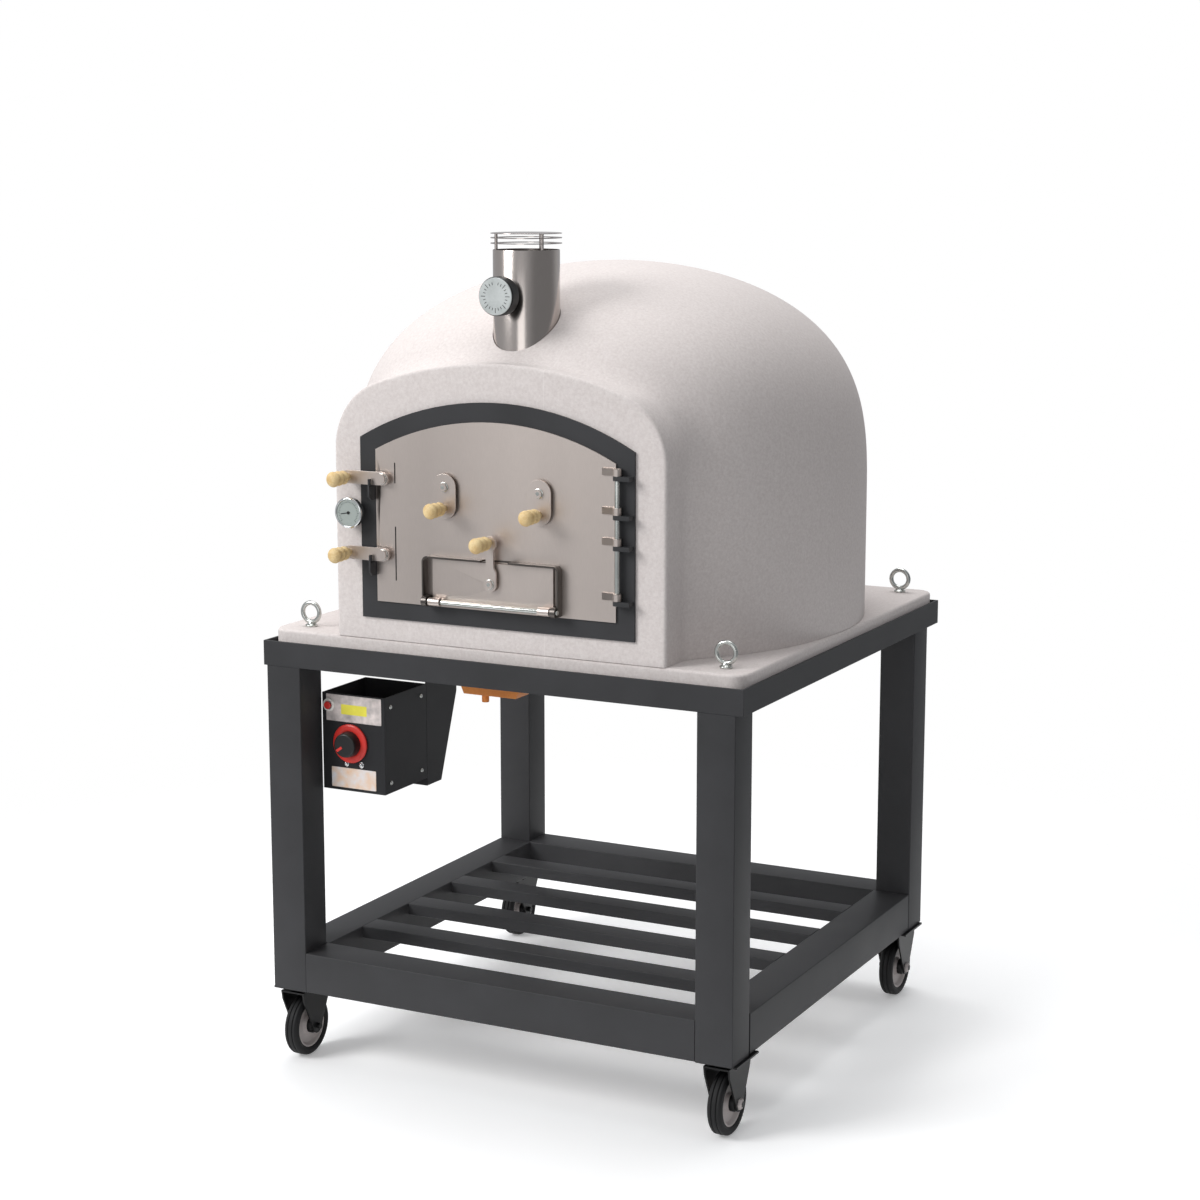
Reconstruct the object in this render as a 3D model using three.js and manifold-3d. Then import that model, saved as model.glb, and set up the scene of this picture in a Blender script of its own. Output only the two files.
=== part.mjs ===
// Wood fired pizza oven: a cast refractory dome and portal on a square slab, carried in an angle-iron
// tray on a wheeled stand. Millimetres, +Z up, the door faces -Y, the castors stand on z = 0.
import * as THREE from 'three';
import { mergeVertices } from 'three/addons/utils/BufferGeometryUtils.js';
import Module from 'manifold-3d';

const wasm = await Module();
wasm.setup();

// ---- Driving dimensions -------------------------------------------------------------------
const GAP = 0.3;                  // clearance left between pieces that touch
const RUNNING = 0.6;              // radial clearance of a pin in its hole

// Stand and castors: heights from the ground; `top` is where the tray's underside rests.
const TRAY = { side: 1022, leg: 49, flange: 50, thick: 5 };
const STAND = { side: TRAY.side - 22, shiftX: -4.3, shiftY: -10.8, bottom: 151, top: 807 };
const LEG = { side: 76, wall: 3 };
const RAIL = { width: 80, height: 80, wall: 3 };
const SLAT = { width: 55, height: 25, wall: 2, count: 4 };
const CASTOR = { insetX: 36, insetY: 58, plateX: 84, plateY: 100, plate: 4, slit: 4, axleNut: 7 };
const FORK = { inside: 46, wall: 3.5, bossRadius: 15, neck: 24 };
const WHEEL = { radius: 62.5, width: 32, tread: 26, hubRadius: 17, hubWidth: 42, axle: 6, sides: 22 };

// Oven: heights from the tray's underside, plan from the tray's middle.
const TRAY_INSIDE = TRAY.side / 2 - TRAY.thick;
const SLAB = { halfX: TRAY_INSIDE - 1.5, front: 13 - TRAY_INSIDE, back: TRAY_INSIDE - 1, bottom: TRAY.thick,
  top: 70, corner: 35, edge: 6 };
const EYE = { insetX: 59.5, insetY: 52, ring: 19, wire: 4.5, above: 28, collar: 12, collarHeight: 6,
  shank: 6, depth: 37 };
const DOME_Y = 10;                // middle of the dome's plan
const DOME = { halfX: SLAB.halfX - 3, front: 545, back: SLAB.back - DOME_Y, wallTop: 300, apex: 774 };
const DOME_CURVE = { plan: 1.95, rise: 3.19 };
const OUTER_GRID = { columns: 44, rows: 9 };
const INNER_GRID = { columns: 28, rows: 6 };
const SHELL = 35;                 // outer cast shell
const BLANKET = 40;               // ceramic fibre blanket
const VAULT = 50;                 // refractory cooking vault
const LAYER_GAP = 2;              // between the curved layers
const HEARTH = { brick: 50, belowSill: 1 };
const PORTAL = { halfWidth: 350, apex: 604, arc: 782, shoulder: 134, back: -290, frontWall: 40 };

// Doorway, and the frame and door that follow its outline.
const DOORWAY = { halfWidth: 240, sill: 159, apex: 484, arc: 538, sleeve: 3, sleeveDepth: 43 };
const FRAME = { lap: 49, foot: 46.5, thick: 4.7 };
const DOOR = { lap: 13, thick: 3, standOff: 0.5 };
const LINER = { clear: 8, foot: 9, depth: 46, wall: 1.5 };
const FRAME_FACE = SLAB.front - GAP - FRAME.thick;
const DOOR_BACK = FRAME_FACE - DOOR.standOff;
const DOOR_FACE = DOOR_BACK - DOOR.thick;
const DOOR_EDGE = DOORWAY.halfWidth + DOOR.lap;

// Fittings on the frame and the door.
const HINGE = { x: DOOR_EDGE + 6, y: DOOR_FACE - 6.5, rod: 5, eye: 8, bottom: 178, top: 426 };
const STRAP = { heights: [421, 350.5, 294.5, 194], height: 13, reach: 32.5, thick: 3.5 };
const LUG = { height: 8, reach: 27.5, below: 0.5 };
const LATCH = { x: 20.5 - DOOR_EDGE, heights: { upper: 381.5, lower: 237.4 }, height: 25.5, thick: 3,
  standOff: 9, right: 13.5, left: 88.5, handle: 75.5, stud: 5, boss: 9, head: 10, headDepth: 6 };
const LATCH_FACE = DOOR_FACE - LATCH.standOff - LATCH.thick;
const KEEPER = { x: -DOOR_EDGE - 3, thick: 4, reach: 10.5, below: 41.5, chamfer: 8, backTop: 1.5, slot: 2 };
const VENT = { x: 100, pivot: 373.5, drop: 34.5, radius: 25, thick: 2.5, standOff: 6, boss: 8, hole: 17 };
const VENT_FACE = DOOR_FACE - VENT.standOff - VENT.thick;
const SCREW = { radius: 4, head: 8, headDepth: 5 };
const GRIP = { neck: 7, end: 11.5, bulge: 15.5, length: 58.5 };
const HOOD = { halfWidth: 144, bottom: 150, top: 243, depth: 18.5, sheet: 3, corner: 11, notchLeft: -18,
  notchRight: 40 };
const FLAP = { edge: 16, foot: 154, top: 237, standOff: 3.5, thick: 2.5, arm: 24, eye: 8 };
const FLAP_ROD = { z: 158, radius: 4.5, earWidth: 10, earHeight: 20 };
const INTAKE = { side: 10, foot: 22, top: 12 };   // how far the hole behind the flap keeps inside its edges
const LEVER = { halfWidth: 13.5, neck: 8, standOff: 4.5, thick: 5, bottom: 185, boltZ: 199.5, top: 289,
  gripZ: 277.5, boss: 9 };
const THERMO = { beyondFrame: 13, z: 314, bezel: 30, face: 26.7, bezelBack: 16.2, neck: 20, stem: 4,
  tip: 58 };
const THERMO_X = -DOORWAY.halfWidth - FRAME.lap - THERMO.beyondFrame;

// Flue, with its cowl and damper.
const FLUE = { y: -369, radius: 62.4, wall: 1.5, bottom: 493, top: 807 };
const FLUE_HOLE = FLUE.radius + 1.2;
const COWL = { over: 4.1, ringWidth: 15.5, top: 31, rings: [21, 11], sheet: 1.5, post: 3, postInside: 6.4,
  collarDrop: 26, collarHeight: 6, collarClear: 1.2 };
const DAMPER = { z: 726, clear: 1.9, sheet: 2, spindle: 4, tail: 3, neck: 14, neckLength: 28, knob: 36,
  knobDepth: 28, shaft: 14 };

// Gas burner and its controls.
const BOX = { left: -424, right: -281, bottom: -253, top: -59, front: -440, depth: 158, sheet: 2 };
const KNOB = { x: -359, z: -156.5, skirt: 39, skirtDepth: 6, cap: 25, depth: 26, shaft: 5, tail: 14 };
const BUTTON = { x: -408, z: -83.5, radius: 7.5, proud: 9, travel: 4, shaft: 5, tail: 14 };
const BRACKET = { sheet: 3, depthLow: 56, depthHigh: 120, bendZ: -95, flange: 44, drop: 16 };
const BURNER = { left: -93, right: 20, front: -456, back: -404, bottom: -27, slope: 14, post: 7, postX: -60,
  postBottom: -45 };

const WHEEL_CENTRE = WHEEL.radius * Math.cos(Math.PI / WHEEL.sides);   // a flat side rests on the ground

// ---- Finishes -----------------------------------------------------------------------------
const finish = (color, roughness, metalness) =>
  new THREE.MeshStandardMaterial({ color, roughness, metalness });
const STAND_COAT = () => finish(0x4a4a4c, 0.55, 0.2);
const CAST_STONE = () => finish(0xdcd5d2, 0.9, 0);
const FIREBRICK = () => finish(0xc9a37c, 0.95, 0);
const FIBRE = () => finish(0xe8e4da, 1, 0);
const STAINLESS = () => finish(0xb0a8a3, 0.28, 1);
const ZINC = () => finish(0xcdd0cd, 0.35, 1);
const PINE = () => finish(0xe0c68c, 0.6, 0);
const RUBBER = () => finish(0x1c1c1e, 0.8, 0);
const RED = () => finish(0xe23a32, 0.4, 0);
const ORANGE = () => finish(0xd7873c, 0.5, 0.1);

// ---- Geometry helpers ---------------------------------------------------------------------
function solidOf(geometry) {
  const bare = geometry.clone();
  bare.deleteAttribute('normal');
  bare.deleteAttribute('uv');
  const merged = mergeVertices(bare, 1e-4);
  return new wasm.Manifold(new wasm.Mesh({
    numProp: 3,
    vertProperties: new Float32Array(merged.attributes.position.array),
    triVerts: new Uint32Array(merged.index.array),
  }));
}

function geometryOf(solid) {
  const mesh = solid.getMesh();
  const geometry = new THREE.BufferGeometry();
  geometry.setAttribute('position', new THREE.BufferAttribute(new Float32Array(mesh.vertProperties), 3));
  geometry.setIndex(new THREE.BufferAttribute(new Uint32Array(mesh.triVerts), 1));
  geometry.computeVertexNormals();
  return geometry;
}

const join = (first, ...others) =>
  geometryOf(others.reduce((solid, other) => solid.add(solidOf(other)), solidOf(first)));
const cut = (body, ...tools) =>
  geometryOf(tools.reduce((solid, tool) => solid.subtract(solidOf(tool)), solidOf(body)));
const common = (first, second) => geometryOf(solidOf(first).intersect(solidOf(second)));

function block(x0, x1, y0, y1, z0, z1) {
  const box = new THREE.BoxGeometry(x1 - x0, y1 - y0, z1 - z0);
  return box.translate((x0 + x1) / 2, (y0 + y1) / 2, (z0 + z1) / 2);
}

// A round bar along X, Y or Z, from one end to the other; `at` gives the two other coordinates.
function bar(axis, radius, from, to, at, sides = 16) {
  const cylinder = new THREE.CylinderGeometry(radius, radius, to - from, sides);
  const middle = (from + to) / 2;
  if (axis === 'x') return cylinder.rotateZ(-Math.PI / 2).translate(middle, at[0], at[1]);
  if (axis === 'y') return cylinder.translate(at[0], middle, at[1]);
  return cylinder.rotateX(Math.PI / 2).translate(at[0], at[1], middle);
}

// A turned piece on an axis along Y: the profile is radius against distance in front of `backY`.
function turnedForward(profile, x, backY, z, sides = 20) {
  const points = profile.map(([radius, ahead]) => new THREE.Vector2(radius, -ahead)).reverse();
  return new THREE.LatheGeometry(points, sides).translate(x, backY, z);
}

// Outline drawn in (x, z) and given a thickness along Y.
function plateFacingFront(shape, frontY, backY, segments = 12) {
  const depth = backY - frontY;
  const plate = new THREE.ExtrudeGeometry(shape, { depth, bevelEnabled: false, curveSegments: segments });
  return plate.rotateX(Math.PI / 2).translate(0, backY, 0);
}

// Outline drawn in (y, z) and given a thickness along X.
function plateFacingSide(shape, leftX, rightX, segments = 12) {
  const depth = rightX - leftX;
  const plate = new THREE.ExtrudeGeometry(shape, { depth, bevelEnabled: false, curveSegments: segments });
  const turn = new THREE.Matrix4().makeBasis(new THREE.Vector3(0, 1, 0), new THREE.Vector3(0, 0, 1),
    new THREE.Vector3(1, 0, 0));
  return plate.applyMatrix4(turn).translate(leftX, 0, 0);
}

function polygon(points) {
  return new THREE.Shape(points.map(([u, v]) => new THREE.Vector2(u, v)));
}

// Upright sides, rounded shoulders and a shallow arc on top.
function archShape({ halfWidth, bottom, apex, arc, shoulder = 0 }) {
  const arcZ = apex - arc;
  const shoulderX = halfWidth - shoulder;
  const shoulderZ = arcZ + Math.sqrt((arc - shoulder) ** 2 - shoulderX ** 2);
  const meet = Math.atan2(shoulderZ - arcZ, shoulderX);
  const shape = new THREE.Shape();
  shape.moveTo(-halfWidth, bottom);
  shape.lineTo(halfWidth, bottom);
  shape.lineTo(halfWidth, shoulderZ);
  if (shoulder > 0) shape.absarc(shoulderX, shoulderZ, shoulder, 0, meet, false);
  shape.absarc(0, arcZ, arc, meet, Math.PI - meet, false);
  if (shoulder > 0) shape.absarc(-shoulderX, shoulderZ, shoulder, Math.PI - meet, Math.PI, false);
  shape.lineTo(-halfWidth, bottom);
  return shape;
}

// The same arch moved outwards by `by` on every edge except the bottom.
const widened = (arch, by) => ({ ...arch,
  halfWidth: arch.halfWidth + by,
  apex: arch.apex + by,
  arc: arch.arc + by,
  shoulder: arch.shoulder ? arch.shoulder + by : 0 });

// Long round-ended outline centred on (x, z): `left`, `right`, `down` and `up` reach to the end centres.
function stadium(x, z, radius, { left = 0, right = 0, down = 0, up = 0 }) {
  const shape = new THREE.Shape();
  if (left + right > 0) {
    shape.absarc(x + right, z, radius, -Math.PI / 2, Math.PI / 2, false);
    shape.absarc(x - left, z, radius, Math.PI / 2, 1.5 * Math.PI, false);
  } else {
    shape.absarc(x, z + up, radius, 0, Math.PI, false);
    shape.absarc(x, z - down, radius, Math.PI, 2 * Math.PI, false);
  }
  return shape;
}

function roundedRectangle(x0, x1, y0, y1, radius) {
  const shape = new THREE.Shape();
  shape.absarc(x1 - radius, y1 - radius, radius, 0, Math.PI / 2, false);
  shape.absarc(x0 + radius, y1 - radius, radius, Math.PI / 2, Math.PI, false);
  shape.absarc(x0 + radius, y0 + radius, radius, Math.PI, 1.5 * Math.PI, false);
  shape.absarc(x1 - radius, y0 + radius, radius, 1.5 * Math.PI, 2 * Math.PI, false);
  return shape;
}

// The dome's outline moved inwards by `inset`: upright to the wall top, then a superellipse to the apex.
function domeSolid(inset, floorZ) {
  const { columns, rows } = inset > 0 ? INNER_GRID : OUTER_GRID;
  const positions = [];
  const rings = [[1, floorZ]];
  for (let row = 0; row < rows; row += 1) {
    const t = (row / rows) * (Math.PI / 2);
    rings.push([
      Math.cos(t) ** (2 / DOME_CURVE.plan),
      DOME.wallTop + (DOME.apex - inset - DOME.wallTop) * Math.sin(t) ** (2 / DOME_CURVE.rise),
    ]);
  }
  for (const [spread, z] of rings) {
    for (let column = 0; column < columns; column += 1) {
      const angle = (column / columns) * 2 * Math.PI;
      const reachY = (Math.sin(angle) < 0 ? DOME.front : DOME.back) - inset;
      positions.push((DOME.halfX - inset) * spread * Math.cos(angle),
        DOME_Y + reachY * spread * Math.sin(angle), z);
    }
  }
  positions.push(0, DOME_Y, DOME.apex - inset, 0, DOME_Y, floorZ);
  const top = rings.length * columns;
  const bottom = top + 1;
  const faces = [];
  for (let column = 0; column < columns; column += 1) {
    const next = (column + 1) % columns;
    for (let ring = 0; ring + 1 < rings.length; ring += 1) {
      const low = ring * columns;
      const high = low + columns;
      faces.push(low + column, low + next, high + next, low + column, high + next, high + column);
    }
    const last = (rings.length - 1) * columns;
    faces.push(last + column, last + next, top);
    faces.push(next, column, bottom);
  }
  const geometry = new THREE.BufferGeometry();
  geometry.setAttribute('position', new THREE.Float32BufferAttribute(positions, 3));
  geometry.setIndex(faces);
  return geometry;
}

// ---- Assembly -----------------------------------------------------------------------------
const root = new THREE.Group();
const stand = new THREE.Group();
stand.position.set(STAND.shiftX, STAND.shiftY, 0);
const oven = new THREE.Group();
oven.position.z = STAND.top;
root.add(stand, oven);

function place(group, name, geometry, material) {
  const mesh = new THREE.Mesh(geometry, material);
  mesh.name = name;
  group.add(mesh);
  return mesh;
}

const CORNERS = [
  { name: 'front_left', x: -1, y: -1 },
  { name: 'front_right', x: 1, y: -1 },
  { name: 'back_left', x: -1, y: 1 },
  { name: 'back_right', x: 1, y: 1 },
];

// Hollow square tube between two ends along an axis, described by its outer box.
function hollowTube(x0, x1, y0, y1, z0, z1, axis, wall) {
  const inner = {
    x: [x0 - 1, x1 + 1, y0 + wall, y1 - wall, z0 + wall, z1 - wall],
    y: [x0 + wall, x1 - wall, y0 - 1, y1 + 1, z0 + wall, z1 - wall],
    z: [x0 + wall, x1 - wall, y0 + wall, y1 - wall, z0 - 1, z1 + 1],
  }[axis];
  return cut(block(x0, x1, y0, y1, z0, z1), block(...inner));
}

// Stand: four legs, four bottom rails between them and a slatted shelf flush with the rails.
function buildStand() {
  const half = STAND.side / 2;
  const railTop = STAND.bottom + RAIL.height;
  const between = half - LEG.side - GAP;
  for (const { name, x, y } of CORNERS) {
    const leg = hollowTube(-LEG.side / 2, LEG.side / 2, -LEG.side / 2, LEG.side / 2, STAND.bottom,
      STAND.top - GAP, 'z', LEG.wall);
    const mesh = place(stand, `leg_${name}`, leg, STAND_COAT());
    mesh.position.set(x * (half - LEG.side / 2), y * (half - LEG.side / 2), 0);
  }
  for (const [name, side] of [['front', -1], ['back', 1]]) {
    const edges = [side * half, side * (half - RAIL.width)].sort((a, b) => a - b);
    place(stand, `rail_${name}`, hollowTube(-between, between, edges[0], edges[1], STAND.bottom, railTop,
      'x', RAIL.wall), STAND_COAT());
  }
  const reach = half - Math.max(RAIL.width, LEG.side) - GAP;
  for (const [name, side] of [['left', -1], ['right', 1]]) {
    const edges = [side * half, side * (half - RAIL.width)].sort((a, b) => a - b);
    place(stand, `rail_${name}`, hollowTube(edges[0], edges[1], -reach, reach, STAND.bottom, railTop,
      'y', RAIL.wall), STAND_COAT());
  }
  const bay = STAND.side - 2 * RAIL.width;
  const space = (bay - SLAT.count * SLAT.width) / (SLAT.count + 1);
  for (let index = 0; index < SLAT.count; index += 1) {
    const front = -bay / 2 + space + index * (space + SLAT.width);
    place(stand, `slat_${index + 1}`, hollowTube(-bay / 2 + GAP, bay / 2 - GAP, front, front + SLAT.width,
      railTop - SLAT.height, railTop, 'x', SLAT.wall), STAND_COAT());
  }
}

// Rigid castors: a pressed fork with its axle, and a wheel that turns on it.
function forkSide() {
  const top = STAND.bottom - GAP - CASTOR.plate - CASTOR.slit;
  const axleZ = WHEEL_CENTRE;
  const half = CASTOR.plateY / 2 - 1;
  const shape = new THREE.Shape();
  shape.moveTo(-half, top);
  shape.lineTo(-half + 3, top - 18);
  shape.absarc(0, axleZ, FORK.bossRadius, Math.PI * 1.08, Math.PI * 1.92, false);
  shape.lineTo(half - 3, top - 18);
  shape.lineTo(half, top);
  return shape;
}

function buildCastors() {
  const plateTop = STAND.bottom - GAP;
  const crownTop = plateTop - CASTOR.plate - CASTOR.slit;
  const halfX = CASTOR.plateX / 2;
  const halfY = CASTOR.plateY / 2;
  const outer = FORK.inside / 2 + FORK.wall;
  for (const { name, x, y } of CORNERS) {
    const castor = new THREE.Group();
    castor.position.set(x * (STAND.side / 2 - CASTOR.insetX), y * (STAND.side / 2 - CASTOR.insetY), 0);
    stand.add(castor);
    const fork = join(
      block(-halfX, halfX, -halfY, halfY, plateTop - CASTOR.plate, plateTop),
      block(-FORK.neck, FORK.neck, -FORK.neck, FORK.neck, crownTop - 1, plateTop - 1),
      block(-outer, outer, -halfY + 1, halfY - 1, crownTop - FORK.wall, crownTop),
      plateFacingSide(forkSide(), -outer, -FORK.inside / 2, 6),
      plateFacingSide(forkSide(), FORK.inside / 2, outer, 6),
      bar('x', WHEEL.axle, -outer - CASTOR.axleNut, outer + CASTOR.axleNut, [0, WHEEL_CENTRE], 12),
    );
    place(castor, `castor_fork_${name}`, fork, RUBBER());
    const half = WHEEL.width / 2;
    const hub = WHEEL.hubWidth / 2;
    const bore = WHEEL.axle + RUNNING;
    const flat = WHEEL.tread / 2 - 4;
    const profile = [
      [bore, -hub], [WHEEL.hubRadius, -hub], [WHEEL.radius - 8, -half], [WHEEL.radius, -flat],
      [WHEEL.radius, flat], [WHEEL.radius - 8, half], [WHEEL.hubRadius, hub], [bore, hub], [bore, -hub],
    ];
    const points = profile.map(([radius, along]) => new THREE.Vector2(radius, along));
    const wheel = new THREE.LatheGeometry(points, WHEEL.sides);
    wheel.rotateY(Math.PI / WHEEL.sides).rotateZ(-Math.PI / 2).translate(0, 0, WHEEL_CENTRE);
    place(castor, `castor_wheel_${name}`, geometryOf(solidOf(wheel)), RUBBER());
  }
}

// Tray: steel angle welded into a square, rim up and flange in, with the slab resting on the flange.
function buildTray() {
  const half = TRAY.side / 2;
  const inner = half - TRAY.thick;
  const window = half - TRAY.flange;
  place(oven, 'tray_frame', cut(block(-half, half, -half, half, 0, TRAY.leg),
    block(-inner, inner, -inner, inner, TRAY.thick, TRAY.leg + 5),
    block(-window, window, -window, window, -5, TRAY.leg)), STAND_COAT());
}

function buildSlab() {
  const eyeZ = SLAB.top + EYE.above;
  const eyeAt = (x, y) =>
    [x * (SLAB.halfX - EYE.insetX), y < 0 ? SLAB.front + EYE.insetY : SLAB.back - EYE.insetY];
  const plan = roundedRectangle(-SLAB.halfX, SLAB.halfX, SLAB.front, SLAB.back, SLAB.corner);
  const slab = new THREE.ExtrudeGeometry(plan, {
    depth: SLAB.top - SLAB.bottom - GAP - 2 * SLAB.edge, curveSegments: 4, bevelEnabled: true,
    bevelSize: SLAB.edge, bevelThickness: SLAB.edge, bevelOffset: -SLAB.edge, bevelSegments: 1,
  }).translate(0, 0, SLAB.bottom + GAP + SLAB.edge);
  const sockets = CORNERS.map(({ x, y }) => bar('z', EYE.shank + GAP, SLAB.top - EYE.depth - 2, SLAB.top + 1,
    eyeAt(x, y), 8));
  place(oven, 'base_slab', cut(slab, ...sockets), CAST_STONE());
  for (const { name, x, y } of CORNERS) {
    const at = eyeAt(x, y);
    const ring = new THREE.TorusGeometry(EYE.ring, EYE.wire, 6, 16);
    ring.rotateX(Math.PI / 2).translate(at[0], at[1], eyeZ);
    place(oven, `eyebolt_${name}`, join(ring,
      bar('z', EYE.collar, SLAB.top + GAP, SLAB.top + EYE.collarHeight, at, 12),
      bar('z', EYE.shank, SLAB.top - EYE.depth, eyeZ - EYE.ring, at, 8)), ZINC());
  }
}

// Cast body: dome shell, blanket and vault in three layers, the portal let into their front, the
// hearth inside them. The portal's outline, GAP wider, is cut out of the three layers.
function buildBody() {
  const seat = SLAB.top + GAP;
  const portalArch = { ...PORTAL, bottom: seat };
  const portalRoom = plateFacingFront(archShape(widened({ ...portalArch, bottom: seat - 5 }, GAP)), -900,
    PORTAL.back + GAP, 10);
  const flueRoom = bar('z', FLUE_HOLE, DOORWAY.apex - 20, DOME.apex + 20, [0, FLUE.y], 28);
  const layer = (outer, inner, name, material) => place(oven, name, cut(domeSolid(outer, seat),
    domeSolid(inner, seat - 5), portalRoom, flueRoom), material);
  const blanketInside = SHELL + BLANKET;
  const vaultInside = blanketInside + VAULT;
  layer(0, SHELL, 'dome_shell', CAST_STONE());
  layer(SHELL + LAYER_GAP, blanketInside, 'dome_blanket', FIBRE());
  layer(blanketInside + LAYER_GAP, vaultInside, 'inner_vault', FIREBRICK());

  const hole = DOORWAY.sleeve + GAP;
  const mouth = widened({ ...DOORWAY, bottom: DOORWAY.sill - hole }, hole);
  const pocket = block(-mouth.halfWidth, mouth.halfWidth, SLAB.front + PORTAL.frontWall, PORTAL.back + 5,
    seat - 5, DOORWAY.sill);
  const stemHole = bar('y', THERMO.stem + RUNNING, SLAB.front - 1, FRAME_FACE + THERMO.tip + 8,
    [THERMO_X, THERMO.z], 12);
  place(oven, 'portal', cut(plateFacingFront(archShape(portalArch), SLAB.front, PORTAL.back, 10),
    plateFacingFront(archShape(mouth), SLAB.front - 5, PORTAL.back + 5), pocket, flueRoom, stemHole),
  CAST_STONE());

  const tongueFront = SLAB.front + PORTAL.frontWall + GAP;
  const hearthPlan = (z0, z1) => {
    const round = common(domeSolid(vaultInside + LAYER_GAP, seat),
      block(-600, 600, PORTAL.back + GAP, 600, z0, z1));
    const half = mouth.halfWidth - GAP;
    return join(round, block(-half, half, tongueFront, PORTAL.back + 60, z0, z1));
  };
  const hearthTop = DOORWAY.sill - HEARTH.belowSill;
  const brickBottom = hearthTop - HEARTH.brick;
  place(oven, 'floor_insulation', hearthPlan(seat, brickBottom - GAP), FIBRE());
  place(oven, 'hearth_floor', hearthPlan(brickBottom, hearthTop), FIREBRICK());
}

// Flue: a steel pipe out of the portal, with a ringed rain cowl and a butterfly damper.
function buildFlue() {
  const pipe = cut(bar('z', FLUE.radius, FLUE.bottom, FLUE.top, [0, FLUE.y], 32),
    bar('z', FLUE.radius - FLUE.wall, FLUE.bottom - 1, FLUE.top + 1, [0, FLUE.y], 32),
    bar('y', DAMPER.spindle + RUNNING, FLUE.y - FLUE.radius - 5, FLUE.y + FLUE.radius + 5,
      [0, DAMPER.z], 12));
  place(oven, 'flue_pipe', pipe, STAINLESS());

  const cowlRadius = FLUE.radius + COWL.over;
  const ringInner = cowlRadius - COWL.ringWidth;
  const cowlTop = FLUE.top + COWL.top;
  const disc = (bottom) => bar('z', cowlRadius, bottom, bottom + COWL.sheet, [0, FLUE.y], 24);
  const ring = (height) => cut(disc(FLUE.top + height),
    bar('z', ringInner, FLUE.top + height - 1, FLUE.top + height + COWL.sheet + 1, [0, FLUE.y], 16));
  const collarZ = FLUE.top - COWL.collarDrop;
  const collarTop = collarZ + COWL.collarHeight;
  const collar = cut(
    bar('z', FLUE.radius - FLUE.wall - COWL.collarClear, collarZ, collarTop, [0, FLUE.y], 24),
    bar('z', ringInner, collarZ - 1, collarTop + 1, [0, FLUE.y], 16));
  const postAt = FLUE.radius - COWL.postInside;
  const posts = [0, 1, 2].map((index) => {
    const angle = Math.PI / 2 + (index * 2 * Math.PI) / 3;
    return bar('z', COWL.post, collarZ + 1, cowlTop - 0.5,
      [postAt * Math.cos(angle), FLUE.y + postAt * Math.sin(angle)], 8);
  });
  place(oven, 'flue_cowl', join(disc(cowlTop - COWL.sheet), ...COWL.rings.map(ring), collar, ...posts),
    STAINLESS());

  const half = DAMPER.sheet / 2;
  const leafRadius = FLUE.radius - FLUE.wall - DAMPER.clear;
  const leaf = bar('x', leafRadius, -half, half, [FLUE.y, DAMPER.z], 24);
  const neckBack = FLUE.y - FLUE.radius - GAP;
  const shaftEnd = neckBack - DAMPER.shaft;
  place(oven, 'damper_plate', join(leaf,
    bar('y', DAMPER.spindle, shaftEnd, FLUE.y + FLUE.radius + DAMPER.tail, [0, DAMPER.z], 12)), STAINLESS());
  const { neck, neckLength, knobDepth } = DAMPER;
  const knob = turnedForward([[0, 0], [neck, 0], [neck, neckLength], [DAMPER.knob - 2, neckLength],
    [DAMPER.knob, neckLength + 2], [DAMPER.knob, neckLength + knobDepth - 2],
    [DAMPER.knob - 2, neckLength + knobDepth], [0, neckLength + knobDepth]], 0, neckBack, DAMPER.z, 24);
  place(oven, 'damper_knob', cut(knob,
    bar('y', DAMPER.spindle + RUNNING, shaftEnd - GAP, neckBack + 1, [0, DAMPER.z], 12)), RUBBER());
}

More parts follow.
